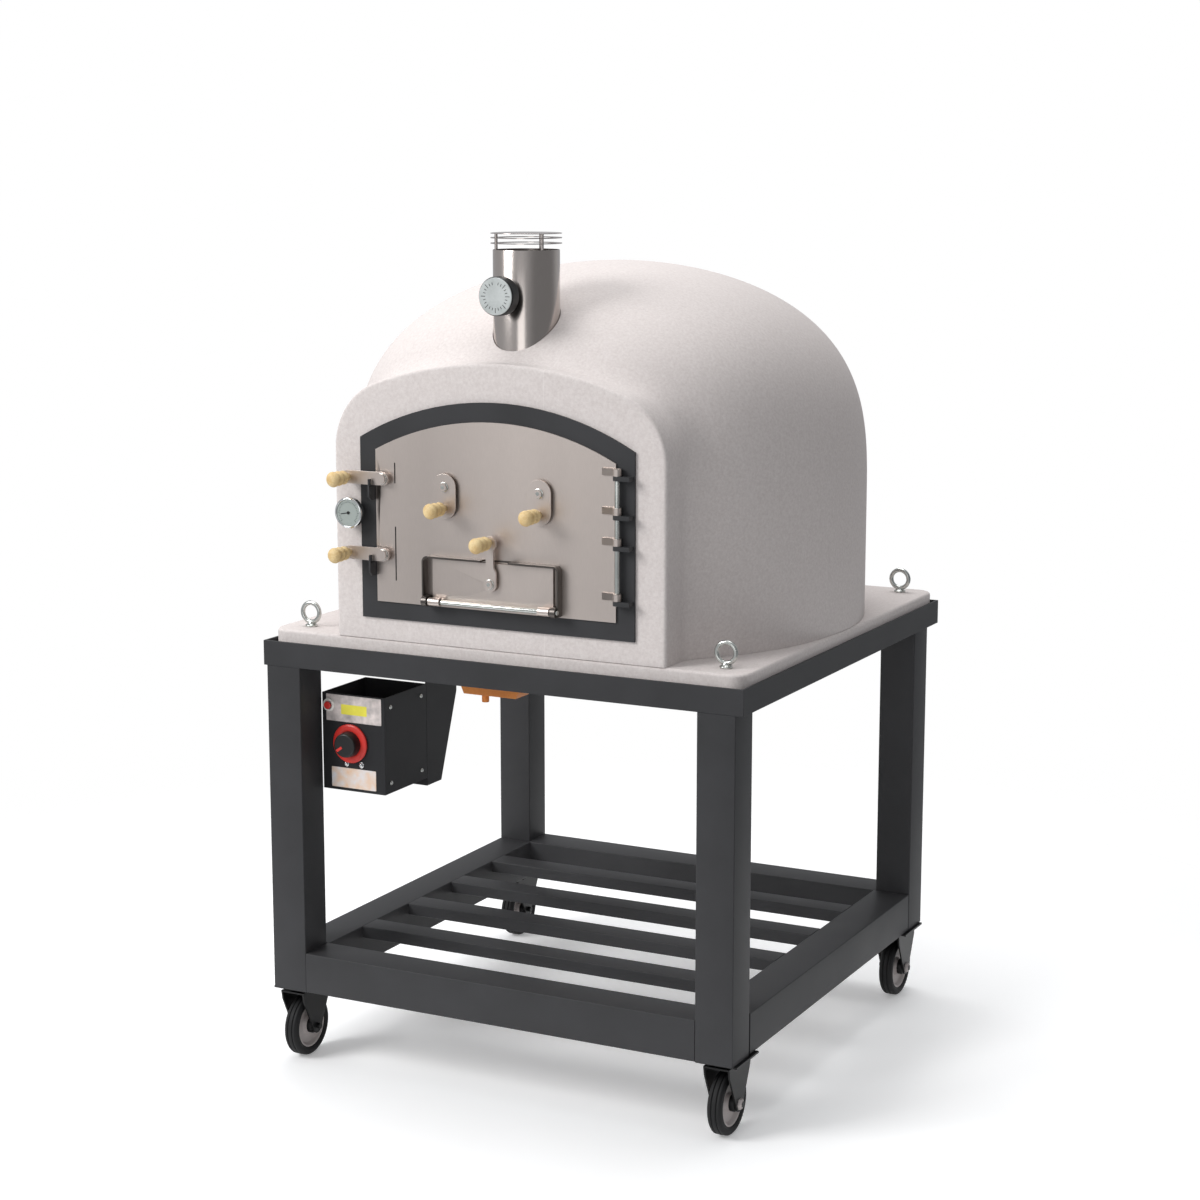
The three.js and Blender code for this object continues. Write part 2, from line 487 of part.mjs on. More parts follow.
// Door frame: an arched plate with a sleeve into the mouth, hinge lugs and latch keepers welded on.
function buildFrame() {
  const outline = { ...widened(DOORWAY, FRAME.lap), bottom: DOORWAY.sill - FRAME.foot };
  const opening = { ...DOORWAY, bottom: DOORWAY.sill };
  const sleeve = { ...widened(DOORWAY, DOORWAY.sleeve), bottom: DOORWAY.sill - DOORWAY.sleeve };
  const sleeveEnd = FRAME_FACE + DOORWAY.sleeveDepth;
  const plate = join(plateFacingFront(archShape(outline), FRAME_FACE, SLAB.front - GAP),
    plateFacingFront(archShape(sleeve), FRAME_FACE, sleeveEnd));
  const hollow = plateFacingFront(archShape(opening), FRAME_FACE - 5, sleeveEnd + 5);
  const lugDrop = (STRAP.height + LUG.height) / 2 + LUG.below;
  const lugs = STRAP.heights.map((strapZ) => {
    const low = strapZ - lugDrop - LUG.height / 2;
    const high = low + LUG.height;
    return cut(join(
      block(HINGE.x, HINGE.x + LUG.reach, HINGE.y - HINGE.eye, FRAME_FACE + 1, low, high),
      bar('z', HINGE.eye, low, high, [HINGE.x, HINGE.y])),
    bar('z', HINGE.rod + RUNNING, low - 5, high + 5, [HINGE.x, HINGE.y]));
  });
  const front = LATCH_FACE - KEEPER.reach;
  const backOfSlot = LATCH_FACE + LATCH.thick + KEEPER.slot;
  const { chamfer } = KEEPER;
  const keepers = Object.values(LATCH.heights).map((z) => {
    const seat = z - LATCH.height / 2 - GAP;
    const foot = z - KEEPER.below;
    return plateFacingSide(polygon([
      [FRAME_FACE + 1, foot + chamfer], [FRAME_FACE - chamfer / 2, foot], [front + chamfer, foot],
      [front, foot + chamfer], [front, seat], [backOfSlot, seat], [backOfSlot, z + KEEPER.backTop],
      [FRAME_FACE + 1, z + KEEPER.backTop]]),
    KEEPER.x - KEEPER.thick / 2, KEEPER.x + KEEPER.thick / 2);
  });
  place(oven, 'door_frame', join(cut(plate, hollow), ...lugs, ...keepers), STAND_COAT());
  place(oven, 'hinge_rod', bar('z', HINGE.rod, HINGE.bottom, HINGE.top, [HINGE.x, HINGE.y]), ZINC());
}

// Turned wooden grip with three swellings, standing forward from a plate's front face.
function grip(x, faceY, z) {
  const { neck, end, bulge, length } = GRIP;
  const swellings = [0.2, 0.32, 0.42, 0.52, 0.64, 0.74, 0.88].map((share, index) =>
    [index % 2 ? bulge - 3.5 : bulge - (index === 0 ? 2 : 0), length * share]);
  return turnedForward([[0, 0], [neck, 0], [neck, length * 0.2 - 3], ...swellings, [end, length * 0.97],
    [end - 3, length], [0, length]], x, faceY - GAP, z, 10);
}

// A pivot screw along Y: its shank from the head in front of `faceY` back into a sheet at `rootY`.
function screw(x, z, faceY, rootY) {
  return [bar('y', SCREW.radius, faceY - 1, rootY, [x, z], 12),
    bar('y', SCREW.head, faceY - SCREW.headDepth, faceY - GAP, [x, z], 12)];
}

function buildDoor() {
  const ventHoles = [-1, 1].map((side) =>
    bar('y', VENT.hole, DOOR_FACE - 5, 0, [side * VENT.x, VENT.pivot - VENT.drop]));
  const intakeHalf = HOOD.halfWidth - FLAP.edge - INTAKE.side;
  const intake = block(-intakeHalf, intakeHalf, DOOR_FACE - 5, 0, FLAP.foot + INTAKE.foot,
    FLAP.top - INTAKE.top);
  const studs = [
    ...Object.values(LATCH.heights).flatMap((z) => [
      bar('y', LATCH.boss, LATCH_FACE + LATCH.thick + GAP, DOOR_FACE + 1, [LATCH.x, z], 12),
      bar('y', LATCH.stud, LATCH_FACE - 1, DOOR_FACE + 1, [LATCH.x, z], 12),
      bar('y', LATCH.head, LATCH_FACE - LATCH.headDepth, LATCH_FACE - GAP, [LATCH.x, z], 12),
    ]),
    ...[-1, 1].flatMap((side) => screw(side * VENT.x, VENT.pivot, VENT_FACE, DOOR_FACE + 1)),
  ];
  const straps = STRAP.heights.map((z) => {
    const low = z - STRAP.height / 2;
    const high = z + STRAP.height / 2;
    const end = HINGE.x - STRAP.reach;
    return cut(join(block(end, HINGE.x, DOOR_FACE - STRAP.thick, DOOR_FACE + 0.5, low, high),
      bar('z', HINGE.eye, low, high, [HINGE.x, HINGE.y])),
    bar('z', HINGE.rod + RUNNING, low - 1, high + 1, [HINGE.x, HINGE.y]));
  });
  const outline = { ...widened(DOORWAY, DOOR.lap), bottom: DOORWAY.sill - DOOR.lap };
  const leaf = cut(plateFacingFront(archShape(outline), DOOR_FACE, DOOR_BACK), ...ventHoles, intake);
  place(oven, 'door_panel', join(leaf, ...studs, ...straps), STAINLESS());

  const front = DOOR_BACK + GAP;
  const back = DOOR_BACK + LINER.depth;
  const inside = (inset) => ({
    ...widened(DOORWAY, -LINER.clear - inset), bottom: DOORWAY.sill + LINER.foot + inset,
  });
  place(oven, 'door_liner', cut(plateFacingFront(archShape(inside(0)), front, back),
    plateFacingFront(archShape(inside(LINER.wall)), front - 5, back - LINER.wall), ...ventHoles, intake),
  STAINLESS());
  place(oven, 'door_insulation', cut(plateFacingFront(archShape(inside(LINER.wall + GAP)), front,
    back - LINER.wall - GAP), ...ventHoles, intake), FIBRE());
}

// Air intake: a sheet hood open at the bottom, a flap on a rod across it, and a lever bolted to the flap.
function buildIntake() {
  const { halfWidth, bottom, top, sheet, corner } = HOOD;
  const front = DOOR_FACE - HOOD.depth;
  const back = DOOR_FACE - GAP;
  const rodAt = [front, FLAP_ROD.z];
  const outline = (inset) => {
    const shape = new THREE.Shape();
    const x = halfWidth - inset;
    const radius = corner - inset;
    const foot = bottom - (inset > 0 ? 5 : 0);
    shape.moveTo(-x, foot);
    shape.lineTo(x, foot);
    shape.absarc(x - radius, top - inset - radius, radius, 0, Math.PI / 2, false);
    shape.absarc(-x + radius, top - inset - radius, radius, Math.PI / 2, Math.PI, false);
    return shape;
  };
  const rim = cut(plateFacingFront(outline(0), front, back, 4),
    plateFacingFront(outline(sheet), front - 5, back + 5, 4),
    block(HOOD.notchLeft, HOOD.notchRight, front - 5, back - 2, top - sheet - 2, top + 5));
  const earBottom = FLAP_ROD.z - FLAP_ROD.earHeight / 2;
  const inside = halfWidth - sheet;
  const ears = [-1, 1].map((side) => {
    const edges = [side * (inside + 0.5), side * (inside - FLAP_ROD.earWidth)].sort((a, b) => a - b);
    return join(block(edges[0], edges[1], front, back, earBottom, earBottom + FLAP_ROD.earHeight),
      bar('x', FLAP_ROD.earHeight / 2, edges[0], edges[1], rodAt));
  });
  const rodHole = bar('x', FLAP_ROD.radius + RUNNING, -halfWidth - 5, halfWidth + 5, rodAt);
  place(oven, 'intake_hood', cut(join(rim, ...ears), rodHole), STAINLESS());
  place(oven, 'flap_rod', bar('x', FLAP_ROD.radius, -halfWidth, halfWidth, rodAt), ZINC());

  const flapHalf = halfWidth - FLAP.edge;
  const leafBack = DOOR_FACE - FLAP.standOff;
  const leafFront = leafBack - FLAP.thick;
  const leverBack = leafFront - LEVER.standOff;
  const leverFront = leverBack - LEVER.thick;
  const arms = [-1, 1].map((side) => {
    const edges = [side * flapHalf, side * (flapHalf - FLAP.arm)].sort((a, b) => a - b);
    return join(block(edges[0], edges[1], front, leafBack, FLAP.foot, FLAP.foot + FLAP.eye),
      bar('x', FLAP.eye, edges[0], edges[1], rodAt));
  });
  const leaf = block(-flapHalf, flapHalf, leafFront, leafBack, FLAP.foot, FLAP.top);
  place(oven, 'flap_panel', cut(join(leaf, ...arms,
    bar('y', LEVER.boss, leverBack + GAP, leafFront + 1, [0, LEVER.boltZ]),
    ...screw(0, LEVER.boltZ, leverFront, leafFront + 1)), rodHole), STAINLESS());

  const shoulderLow = LEVER.boltZ + 22;
  const shoulderHigh = LEVER.boltZ + 32;
  const round = LEVER.top - LEVER.halfWidth;
  const leverShape = new THREE.Shape();
  leverShape.absarc(0, LEVER.bottom + LEVER.halfWidth, LEVER.halfWidth, Math.PI, 2 * Math.PI, false);
  leverShape.lineTo(LEVER.halfWidth, shoulderLow);
  leverShape.lineTo(LEVER.neck, shoulderHigh);
  leverShape.lineTo(LEVER.neck, round - 12);
  leverShape.absarc(0, round, LEVER.halfWidth, -0.6, Math.PI + 0.6, false);
  leverShape.lineTo(-LEVER.neck, round - 12);
  leverShape.lineTo(-LEVER.neck, shoulderHigh);
  leverShape.lineTo(-LEVER.halfWidth, shoulderLow);
  place(oven, 'flap_lever', cut(plateFacingFront(leverShape, leverFront, leverBack, 6),
    bar('y', SCREW.radius + RUNNING, leverFront - 5, leverBack + 5, [0, LEVER.boltZ])), STAINLESS());
  place(oven, 'flap_handle', grip(0, leverFront, LEVER.gripZ), PINE());
}

// Gravity latches on the door's free edge, and the two swinging vent covers.
function buildLatchesAndVents() {
  const radius = LATCH.height / 2;
  for (const [name, z] of Object.entries(LATCH.heights)) {
    const outline = stadium(LATCH.x, z, radius, { left: LATCH.left - radius, right: LATCH.right - radius });
    place(oven, `latch_bar_${name}`, cut(plateFacingFront(outline, LATCH_FACE, LATCH_FACE + LATCH.thick, 8),
      bar('y', LATCH.stud + RUNNING, LATCH_FACE - 5, LATCH_FACE + 5, [LATCH.x, z])), STAINLESS());
    place(oven, `latch_handle_${name}`, grip(LATCH.x - LATCH.handle, LATCH_FACE, z), PINE());
  }
  const coverBack = VENT_FACE + VENT.thick;
  for (const [name, side] of [['left', -1], ['right', 1]]) {
    const x = side * VENT.x;
    const outline = stadium(x, VENT.pivot, VENT.radius, { down: VENT.drop });
    place(oven, `vent_cover_${name}`, cut(join(plateFacingFront(outline, VENT_FACE, coverBack, 8),
      bar('y', VENT.boss, coverBack - 1, DOOR_FACE - GAP, [x, VENT.pivot])),
    bar('y', SCREW.radius + RUNNING, VENT_FACE - 5, 0, [x, VENT.pivot])), STAINLESS());
    place(oven, `vent_handle_${name}`, grip(x, VENT_FACE, VENT.pivot - VENT.drop - 5), PINE());
  }
}

// Thermometer: a dial in a bezel on a neck, its stem passing the frame's edge into the portal.
function buildThermometer() {
  const { bezel, neck, stem, tip, bezelBack, face } = THERMO;
  const seat = FRAME_FACE - GAP;
  place(oven, 'thermometer', turnedForward([[0, -tip], [stem, -tip], [stem, 0], [neck, 0],
    [neck, bezelBack], [bezel, bezelBack], [bezel, face - 2], [bezel - 2, face], [bezel - 4, face],
    [bezel - 5, face - 2], [0, face - 2]], THERMO_X, seat, THERMO.z, 24), ZINC());
}

// Gas burner controls: an open-topped sheet box with a knob and an igniter button, held by a bracket
// under the slab, and the burner's casing.
function buildBurner() {
  const { left, right, bottom, top, front, depth, sheet } = BOX;
  const back = front + depth;
  place(oven, 'control_box', cut(block(left, right, front, back, bottom, top),
    block(left + sheet, right - sheet, front + sheet, back - sheet, bottom + sheet, top + 5),
    bar('y', KNOB.shaft + RUNNING, front - 5, front + 5, [KNOB.x, KNOB.z]),
    bar('y', BUTTON.shaft + RUNNING, front - 5, front + 5, [BUTTON.x, BUTTON.z])), STAND_COAT());
  const knob = [[0, -KNOB.tail], [KNOB.shaft, -KNOB.tail], [KNOB.shaft, GAP], [KNOB.skirt, GAP],
    [KNOB.skirt, KNOB.skirtDepth - 2], [KNOB.skirt - 2, KNOB.skirtDepth], [KNOB.cap, KNOB.skirtDepth],
    [KNOB.cap - 2, KNOB.depth - 2], [KNOB.cap - 4, KNOB.depth], [0, KNOB.depth]];
  place(oven, 'control_knob', turnedForward(knob, KNOB.x, front, KNOB.z, 24), RED());
  const buttonBack = BUTTON.travel + 1;
  const button = [[0, -BUTTON.tail], [BUTTON.shaft, -BUTTON.tail], [BUTTON.shaft, buttonBack],
    [BUTTON.radius, buttonBack], [BUTTON.radius, BUTTON.proud - 1], [BUTTON.radius - 2, BUTTON.proud],
    [0, BUTTON.proud]];
  place(oven, 'igniter_button', turnedForward(button, BUTTON.x, front, BUTTON.z, 16), RED());

  const underSlab = SLAB.bottom;
  const lowBack = back + BRACKET.depthLow;
  const highBack = back + BRACKET.depthHigh;
  const webBottom = bottom - BRACKET.drop;
  const web = plateFacingSide(polygon([[back + GAP, webBottom], [lowBack, webBottom],
    [highBack, BRACKET.bendZ], [highBack, underSlab], [back + GAP, underSlab]]),
  right - BRACKET.sheet, right);
  const flange = block(right - BRACKET.flange, right - 1, back + GAP, highBack, underSlab - BRACKET.sheet,
    underSlab);
  const backPlate = block(left + 10, right - 1, back + GAP, back + GAP + BRACKET.sheet, webBottom, top - 4);
  place(oven, 'burner_bracket', join(web, flange, backPlate), STAND_COAT());

  const { slope } = BURNER;
  const casing = plateFacingFront(polygon([[BURNER.left, BURNER.bottom], [BURNER.right, BURNER.bottom],
    [BURNER.right + slope, underSlab], [BURNER.left - slope, underSlab]]), BURNER.front, BURNER.back);
  place(oven, 'burner_body', join(casing, bar('z', BURNER.post, BURNER.postBottom, BURNER.bottom + 1,
    [BURNER.postX, (BURNER.front + BURNER.back) / 2])), ORANGE());
}

buildStand();
buildCastors();
buildTray();
buildSlab();
buildBody();
buildFlue();
buildFrame();
buildDoor();
buildIntake();
buildLatchesAndVents();
buildThermometer();
buildBurner();

// The origin is the middle of the whole oven's plan, on the ground under the castors.
root.updateMatrixWorld(true);
const extent = new THREE.Box3().setFromObject(root, true);
root.position.set(-(extent.min.x + extent.max.x) / 2, -(extent.min.y + extent.max.y) / 2, 0);

export default root;
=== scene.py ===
import math

import bmesh
import bpy
import numpy as np
from mathutils import Euler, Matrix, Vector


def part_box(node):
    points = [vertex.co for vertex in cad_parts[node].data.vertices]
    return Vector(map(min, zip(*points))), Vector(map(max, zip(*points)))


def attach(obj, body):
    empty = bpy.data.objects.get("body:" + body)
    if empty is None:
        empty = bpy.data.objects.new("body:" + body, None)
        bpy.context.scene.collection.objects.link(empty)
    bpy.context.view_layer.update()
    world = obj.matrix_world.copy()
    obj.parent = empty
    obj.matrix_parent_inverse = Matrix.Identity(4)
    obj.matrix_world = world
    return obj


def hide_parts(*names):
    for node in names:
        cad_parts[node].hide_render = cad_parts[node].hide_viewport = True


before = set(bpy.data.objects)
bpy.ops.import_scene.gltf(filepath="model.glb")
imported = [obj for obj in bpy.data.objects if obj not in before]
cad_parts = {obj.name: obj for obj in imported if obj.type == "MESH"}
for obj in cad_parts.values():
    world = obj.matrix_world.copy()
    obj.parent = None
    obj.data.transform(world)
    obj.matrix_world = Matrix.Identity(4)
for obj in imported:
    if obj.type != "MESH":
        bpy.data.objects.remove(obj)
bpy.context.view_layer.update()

# ---- Place of the oven: everything is set out from the tray, whose plan is the oven's own square.
# +Z is up and the door faces -Y.
tray_low, tray_high = (np.array(corner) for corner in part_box("tray_frame"))
oven_y = (tray_low[1] + tray_high[1]) / 2


# ---- Camera and studio: a long lens a little above the hearth, a pale floor, one broad soft light
# from the front left, a weaker one in front, one above, and a sky that is darker on the right.
camera_data = bpy.data.cameras.new("view")
camera_data.lens = 74.67
camera_data.sensor_width = 36.0
camera = bpy.data.objects.new("view", camera_data)
bpy.context.scene.collection.objects.link(camera)
camera.location = (2.2407, oven_y - 4.4534, 1.7817)
camera.rotation_euler = Euler((math.radians(90 - 10.08), 0.0, math.radians(27.07)))
bpy.context.scene.camera = camera
bpy.context.scene.view_settings.view_transform = "Standard"


def soft_light(name, place, target, size, power):
    """A square area lamp of the given side, aimed from its place at a point."""
    lamp = bpy.data.lights.new(name, "AREA")
    lamp.size = size
    lamp.energy = power
    holder = bpy.data.objects.new(name, lamp)
    bpy.context.scene.collection.objects.link(holder)
    holder.location = place
    aim = np.array(target) - np.array(place)
    yaw = math.atan2(aim[1], aim[0]) - math.pi / 2
    pitch = math.atan2(aim[2], math.hypot(aim[0], aim[1])) + math.pi / 2
    holder.rotation_euler = Euler((pitch, 0.0, yaw))


soft_light("key", (-3.4, -4.4, 4.2), (0, 0, 0.9), 2.6, 250)
soft_light("front_fill", (1.0, -6.0, 2.0), (0, 0, 0.9), 2.5, 26)
soft_light("top", (-0.5, 1.0, 5.5), (0, 0, 1.0), 3.5, 150)

world = bpy.data.worlds.new("studio")
bpy.context.scene.world = world
world.use_nodes = True
sky = world.node_tree
ambient = sky.nodes["Background"]
ambient.inputs["Color"].default_value = (0.95, 0.97, 1.0, 1)
heading = sky.nodes.new("ShaderNodeTexCoord")
heading_parts = sky.nodes.new("ShaderNodeSeparateXYZ")
sky.links.new(heading.outputs["Generated"], heading_parts.inputs["Vector"])
shade = sky.nodes.new("ShaderNodeMapRange")
shade.interpolation_type = "SMOOTHSTEP"
shade.inputs["From Min"].default_value = 0.35
shade.inputs["From Max"].default_value = 0.85
shade.inputs["To Min"].default_value = 0.50
shade.inputs["To Max"].default_value = 0.25
sky.links.new(heading_parts.outputs["X"], shade.inputs["Value"])
sky.links.new(shade.outputs["Result"], ambient.inputs["Strength"])
backdrop = sky.nodes.new("ShaderNodeBackground")
backdrop.inputs["Color"].default_value = (1, 1, 1, 1)
backdrop.inputs["Strength"].default_value = 1.0
seen = sky.nodes.new("ShaderNodeLightPath")
choose = sky.nodes.new("ShaderNodeMixShader")
sky.links.new(seen.outputs["Is Camera Ray"], choose.inputs["Fac"])
sky.links.new(ambient.outputs["Background"], choose.inputs[1])
sky.links.new(backdrop.outputs["Background"], choose.inputs[2])
sky.links.new(choose.outputs["Shader"], sky.nodes["World Output"].inputs["Surface"])


# ---- Stand: powder-coated square steel tube, welded; four legs, four rails and a slatted shelf.
# The tube's corners are rounded, so its edges catch the light.
def linear(hex_colour):
    """A hex colour as linear red, green, blue and alpha."""
    channels = np.array([int(hex_colour[i:i + 2], 16) for i in (1, 3, 5)]) / 255
    low = channels / 12.92
    high = ((channels + 0.055) / 1.055) ** 2.4
    return (*np.where(channels <= 0.04045, low, high), 1.0)


def new_group(name, inputs, outputs):
    """An empty shader node group; inputs are (name, socket type, value), outputs (name, socket type)."""
    group = bpy.data.node_groups.new(name, "ShaderNodeTree")
    for label, kind, value in inputs:
        socket = group.interface.new_socket(label, in_out="INPUT", socket_type=kind)
        socket.default_value = value
    for label, kind in outputs:
        group.interface.new_socket(label, in_out="OUTPUT", socket_type=kind)
    return group, group.nodes.new("NodeGroupInput"), group.nodes.new("NodeGroupOutput")


def build_grain():
    """Surface grain: a coarse and a fine noise on the piece's own coordinates, stretched by Stretch.
    Tone is both, mostly the coarse one, kept round one half; Height is both, mostly the fine one."""
    group, given, result = new_group("grain", [
        ("Stretch", "NodeSocketVector", (1, 1, 1)), ("Coarse", "NodeSocketFloat", 6.0),
        ("Fine", "NodeSocketFloat", 300.0)], [("Tone", "NodeSocketFloat"), ("Height", "NodeSocketFloat")])
    nodes, links = group.nodes, group.links
    place = nodes.new("ShaderNodeTexCoord")
    stretched = nodes.new("ShaderNodeVectorMath")
    stretched.operation = "MULTIPLY"
    links.new(place.outputs["Object"], stretched.inputs[0])
    links.new(given.outputs["Stretch"], stretched.inputs[1])
    noises = []
    for label, detail in (("Coarse", 3.0), ("Fine", 4.0)):
        noise = nodes.new("ShaderNodeTexNoise")
        noise.inputs["Detail"].default_value = detail
        links.new(stretched.outputs["Vector"], noise.inputs["Vector"])
        links.new(given.outputs[label], noise.inputs["Scale"])
        noises.append(noise)
    for label, share in (("Tone", 0.35), ("Height", 0.8)):
        blend = nodes.new("ShaderNodeMix")
        blend.inputs[0].default_value = share
        links.new(noises[0].outputs["Fac"], blend.inputs[2])
        links.new(noises[1].outputs["Fac"], blend.inputs[3])
        links.new(blend.outputs[0], result.inputs[label])
    return group


grain = build_grain()


def finish(name, dark, light, rough, bump, coarse=6.0, fine=300.0, stretch=(1, 1, 1), metallic=0.0,
           **sockets):
    """A material whose colour runs from dark to light and whose roughness runs over `rough` with the
    grain's tone, with the grain's height as a bump `bump` metres deep. Extra sockets are set as given."""
    material = bpy.data.materials.new(name)
    material.use_nodes = True
    nodes, links = material.node_tree.nodes, material.node_tree.links
    shader = nodes["Principled BSDF"]
    shader.inputs["Metallic"].default_value = metallic
    for label, value in sockets.items():
        shader.inputs[label.replace("_", " ")].default_value = value
    texture = nodes.new("ShaderNodeGroup")
    texture.node_tree = grain
    texture.inputs["Stretch"].default_value = stretch
    texture.inputs["Coarse"].default_value = coarse
    texture.inputs["Fine"].default_value = fine
    colours = nodes.new("ShaderNodeMapRange")
    colours.data_type = "FLOAT_VECTOR"
    links.new(texture.outputs["Tone"], colours.inputs["Vector"])
    colours.inputs[7].default_value = (0.3, 0.3, 0.3)
    colours.inputs[8].default_value = (0.7, 0.7, 0.7)
    colours.inputs[9].default_value = linear(dark)[:3]
    colours.inputs[10].default_value = linear(light)[:3]
    links.new(colours.outputs["Vector"], shader.inputs["Base Color"])
    gloss = nodes.new("ShaderNodeMapRange")
    gloss.inputs["From Min"].default_value = 0.3
    gloss.inputs["From Max"].default_value = 0.7
    gloss.inputs["To Min"].default_value, gloss.inputs["To Max"].default_value = rough
    links.new(texture.outputs["Tone"], gloss.inputs["Value"])
    links.new(gloss.outputs["Result"], shader.inputs["Roughness"])
    relief = nodes.new("ShaderNodeBump")
    relief.inputs["Strength"].default_value = 1.0
    relief.inputs["Distance"].default_value = bump
    links.new(texture.outputs["Height"], relief.inputs["Height"])
    links.new(relief.outputs["Normal"], shader.inputs["Normal"])
    return material


def grid_part(points, wrap_rows=False, wrap_columns=True, caps=True):
    """Vertices and faces of a surface through an (m, n, 3) array of points: a quad for each cell,
    joined round where it wraps, and its first and last rows closed by one face each as caps."""
    rows, columns = points.shape[:2]
    index = np.arange(rows * columns).reshape(rows, columns)
    if wrap_rows:
        index = np.vstack([index, index[:1]])
    if wrap_columns:
        index = np.hstack([index, index[:, :1]])
    quads = np.stack([index[:-1, :-1], index[1:, :-1], index[1:, 1:], index[:-1, 1:]], axis=-1)
    faces = quads.reshape(-1, 4).tolist()
    if caps and not wrap_rows:
        ends = np.arange(rows * columns).reshape(rows, columns)
        faces += [ends[0].tolist(), ends[-1][::-1].tolist()]
    return points.reshape(-1, 3), faces


MERGE_DISTANCE = 1e-6


def piece(name, parts, body, material, replaces=(), bevel=0.0, angle=35.0):
    """One object from several parts: merged, faces turned outwards, edges over `angle` kept sharp."""
    vertices, faces = [], []
    for part_vertices, part_faces in parts:
        start = sum(len(v) for v in vertices)
        vertices.append(np.asarray(part_vertices))
        faces += [[corner + start for corner in face] for face in part_faces]
    mesh = bpy.data.meshes.new(name)
    mesh.from_pydata(np.concatenate(vertices).tolist(), [], faces)
    return finished(name, mesh, body, material, replaces, bevel, angle)


def finished(name, mesh, body, material, replaces=(), bevel=0.0, angle=35.0):
    work = bmesh.new()
    work.from_mesh(mesh)
    bmesh.ops.remove_doubles(work, verts=work.verts, dist=MERGE_DISTANCE)
    bmesh.ops.dissolve_degenerate(work, edges=work.edges, dist=MERGE_DISTANCE)
    bmesh.ops.recalc_face_normals(work, faces=work.faces)
    work.to_mesh(mesh)
    work.free()
    mesh.shade_smooth()
    mesh.set_sharp_from_angle(angle=math.radians(angle))
    mesh.materials.clear()
    mesh.materials.append(material)
    made = bpy.data.objects.new(name, mesh)
    bpy.context.scene.collection.objects.link(made)
    if bevel > 0:
        rounding = made.modifiers.new("edges", "BEVEL")
        rounding.width = bevel
        rounding.segments = 2
        rounding.limit_method = "ANGLE"
        rounding.angle_limit = math.radians(30)
        rounding.harden_normals = True
    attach(made, body)
    if replaces:
        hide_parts(*replaces)
    return made


def rounded_outline(width, height, radius, steps=5):
    """Corner-rounded rectangle about the origin: a quarter circle of `steps` points at each corner."""
    turn = np.linspace(0, math.pi / 2, steps)
    arc = np.stack([np.cos(turn), np.sin(turn)], axis=1) * radius
    corner = np.array([width / 2 - radius, height / 2 - radius])
    quarters = []
    for quarter, signs in enumerate(((1, 1), (-1, 1), (-1, -1), (1, -1))):
        spin = np.array([[math.cos(quarter * math.pi / 2), -math.sin(quarter * math.pi / 2)],
                         [math.sin(quarter * math.pi / 2), math.cos(quarter * math.pi / 2)]])
        quarters.append(arc @ spin.T + corner * signs)
    return np.concatenate(quarters)


def bar_between(low, high, axis, radius, steps=5):
    """A bar filling a box along one axis: the rounded outline of its section at both ends."""
    others = [k for k in range(3) if k != axis]
    size, middle = high - low, (high + low) / 2
    section = rounded_outline(size[others[0]], size[others[1]], radius, steps)
    points = np.zeros((2, len(section), 3))
    points[:, :, others] = section + middle[others]
    points[0, :, axis], points[1, :, axis] = low[axis], high[axis]
    return grid_part(points)


def node_box(node):
    """The lowest and highest corner of a CAD piece, as arrays."""
    low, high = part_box(node)
    return np.array(low), np.array(high)


powder_coat = finish("powder_coat", "#363637", "#3d3d3f", (0.42, 0.52), 0.00004, coarse=9.0, fine=700.0,
                     Specular_IOR_Level=0.2)
corners = ("front_left", "front_right", "back_left", "back_right")
for node, along in ([(f"leg_{corner}", 2) for corner in corners]
                    + [("rail_front", 0), ("rail_back", 0), ("rail_left", 1), ("rail_right", 1)]
                    + [(f"slat_{number}", 0) for number in range(1, 5)]):
    piece(f"{node}_tube", [bar_between(*node_box(node), along, 0.002)], "root", powder_coat,
          [node])


# ---- Tray, bracket and control box: folded and welded steel in the same coating as the stand.
# Their edges are eased by about half a millimetre.
def eased(node, body, material, width=0.0):
    """A copy of a CAD piece with its flat facets merged and its edges rounded by `width` metres."""
    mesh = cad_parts[node].data.copy()
    mesh.name = f"{node}_eased"
    work = bmesh.new()
    work.from_mesh(mesh)
    bmesh.ops.remove_doubles(work, verts=work.verts, dist=0.00001)
    bmesh.ops.dissolve_limit(work, angle_limit=math.radians(0.5), verts=work.verts, edges=work.edges)
    work.to_mesh(mesh)
    work.free()
    return finished(f"{node}_eased", mesh, body, material, [node], width)


eased("tray_frame", "root", powder_coat, 0.0008)
box_black = finish("box_black", "#222224", "#29292b", (0.4, 0.5), 0.00004, coarse=9.0, fine=700.0,
                   Specular_IOR_Level=0.25)
for node in ("burner_bracket", "control_box"):
    eased(node, "root", box_black, 0.0008)


# ---- Castors: a pressed black fork, a solid rubber tyre with grooves on a grey cast rim, and a hub
# cap on the axle's end.
def turned_part(profile, centre, axis, sides=48):
    """A turned shape: the profile's (radius, distance along the axis) carried round the axis."""
    profile = np.asarray(profile, dtype=float)
    turn = np.linspace(0, 2 * math.pi, sides, endpoint=False)
    others = [(axis + 1) % 3, (axis + 2) % 3]
    points = np.zeros((len(profile), sides, 3))
    points[:, :, others[0]] = profile[:, :1] * np.cos(turn)
    points[:, :, others[1]] = profile[:, :1] * np.sin(turn)
    points[:, :, axis] = profile[:, 1:]
    return grid_part(points + np.asarray(centre), caps=False)


def ring_part(profile, centre, axis, sides=48):
    """A turned ring: a closed profile of (radius, distance along the axis) carried round the axis."""
    vertices, _ = turned_part(profile, centre, axis, sides)
    return grid_part(vertices.reshape(len(profile), sides, 3), wrap_rows=True)


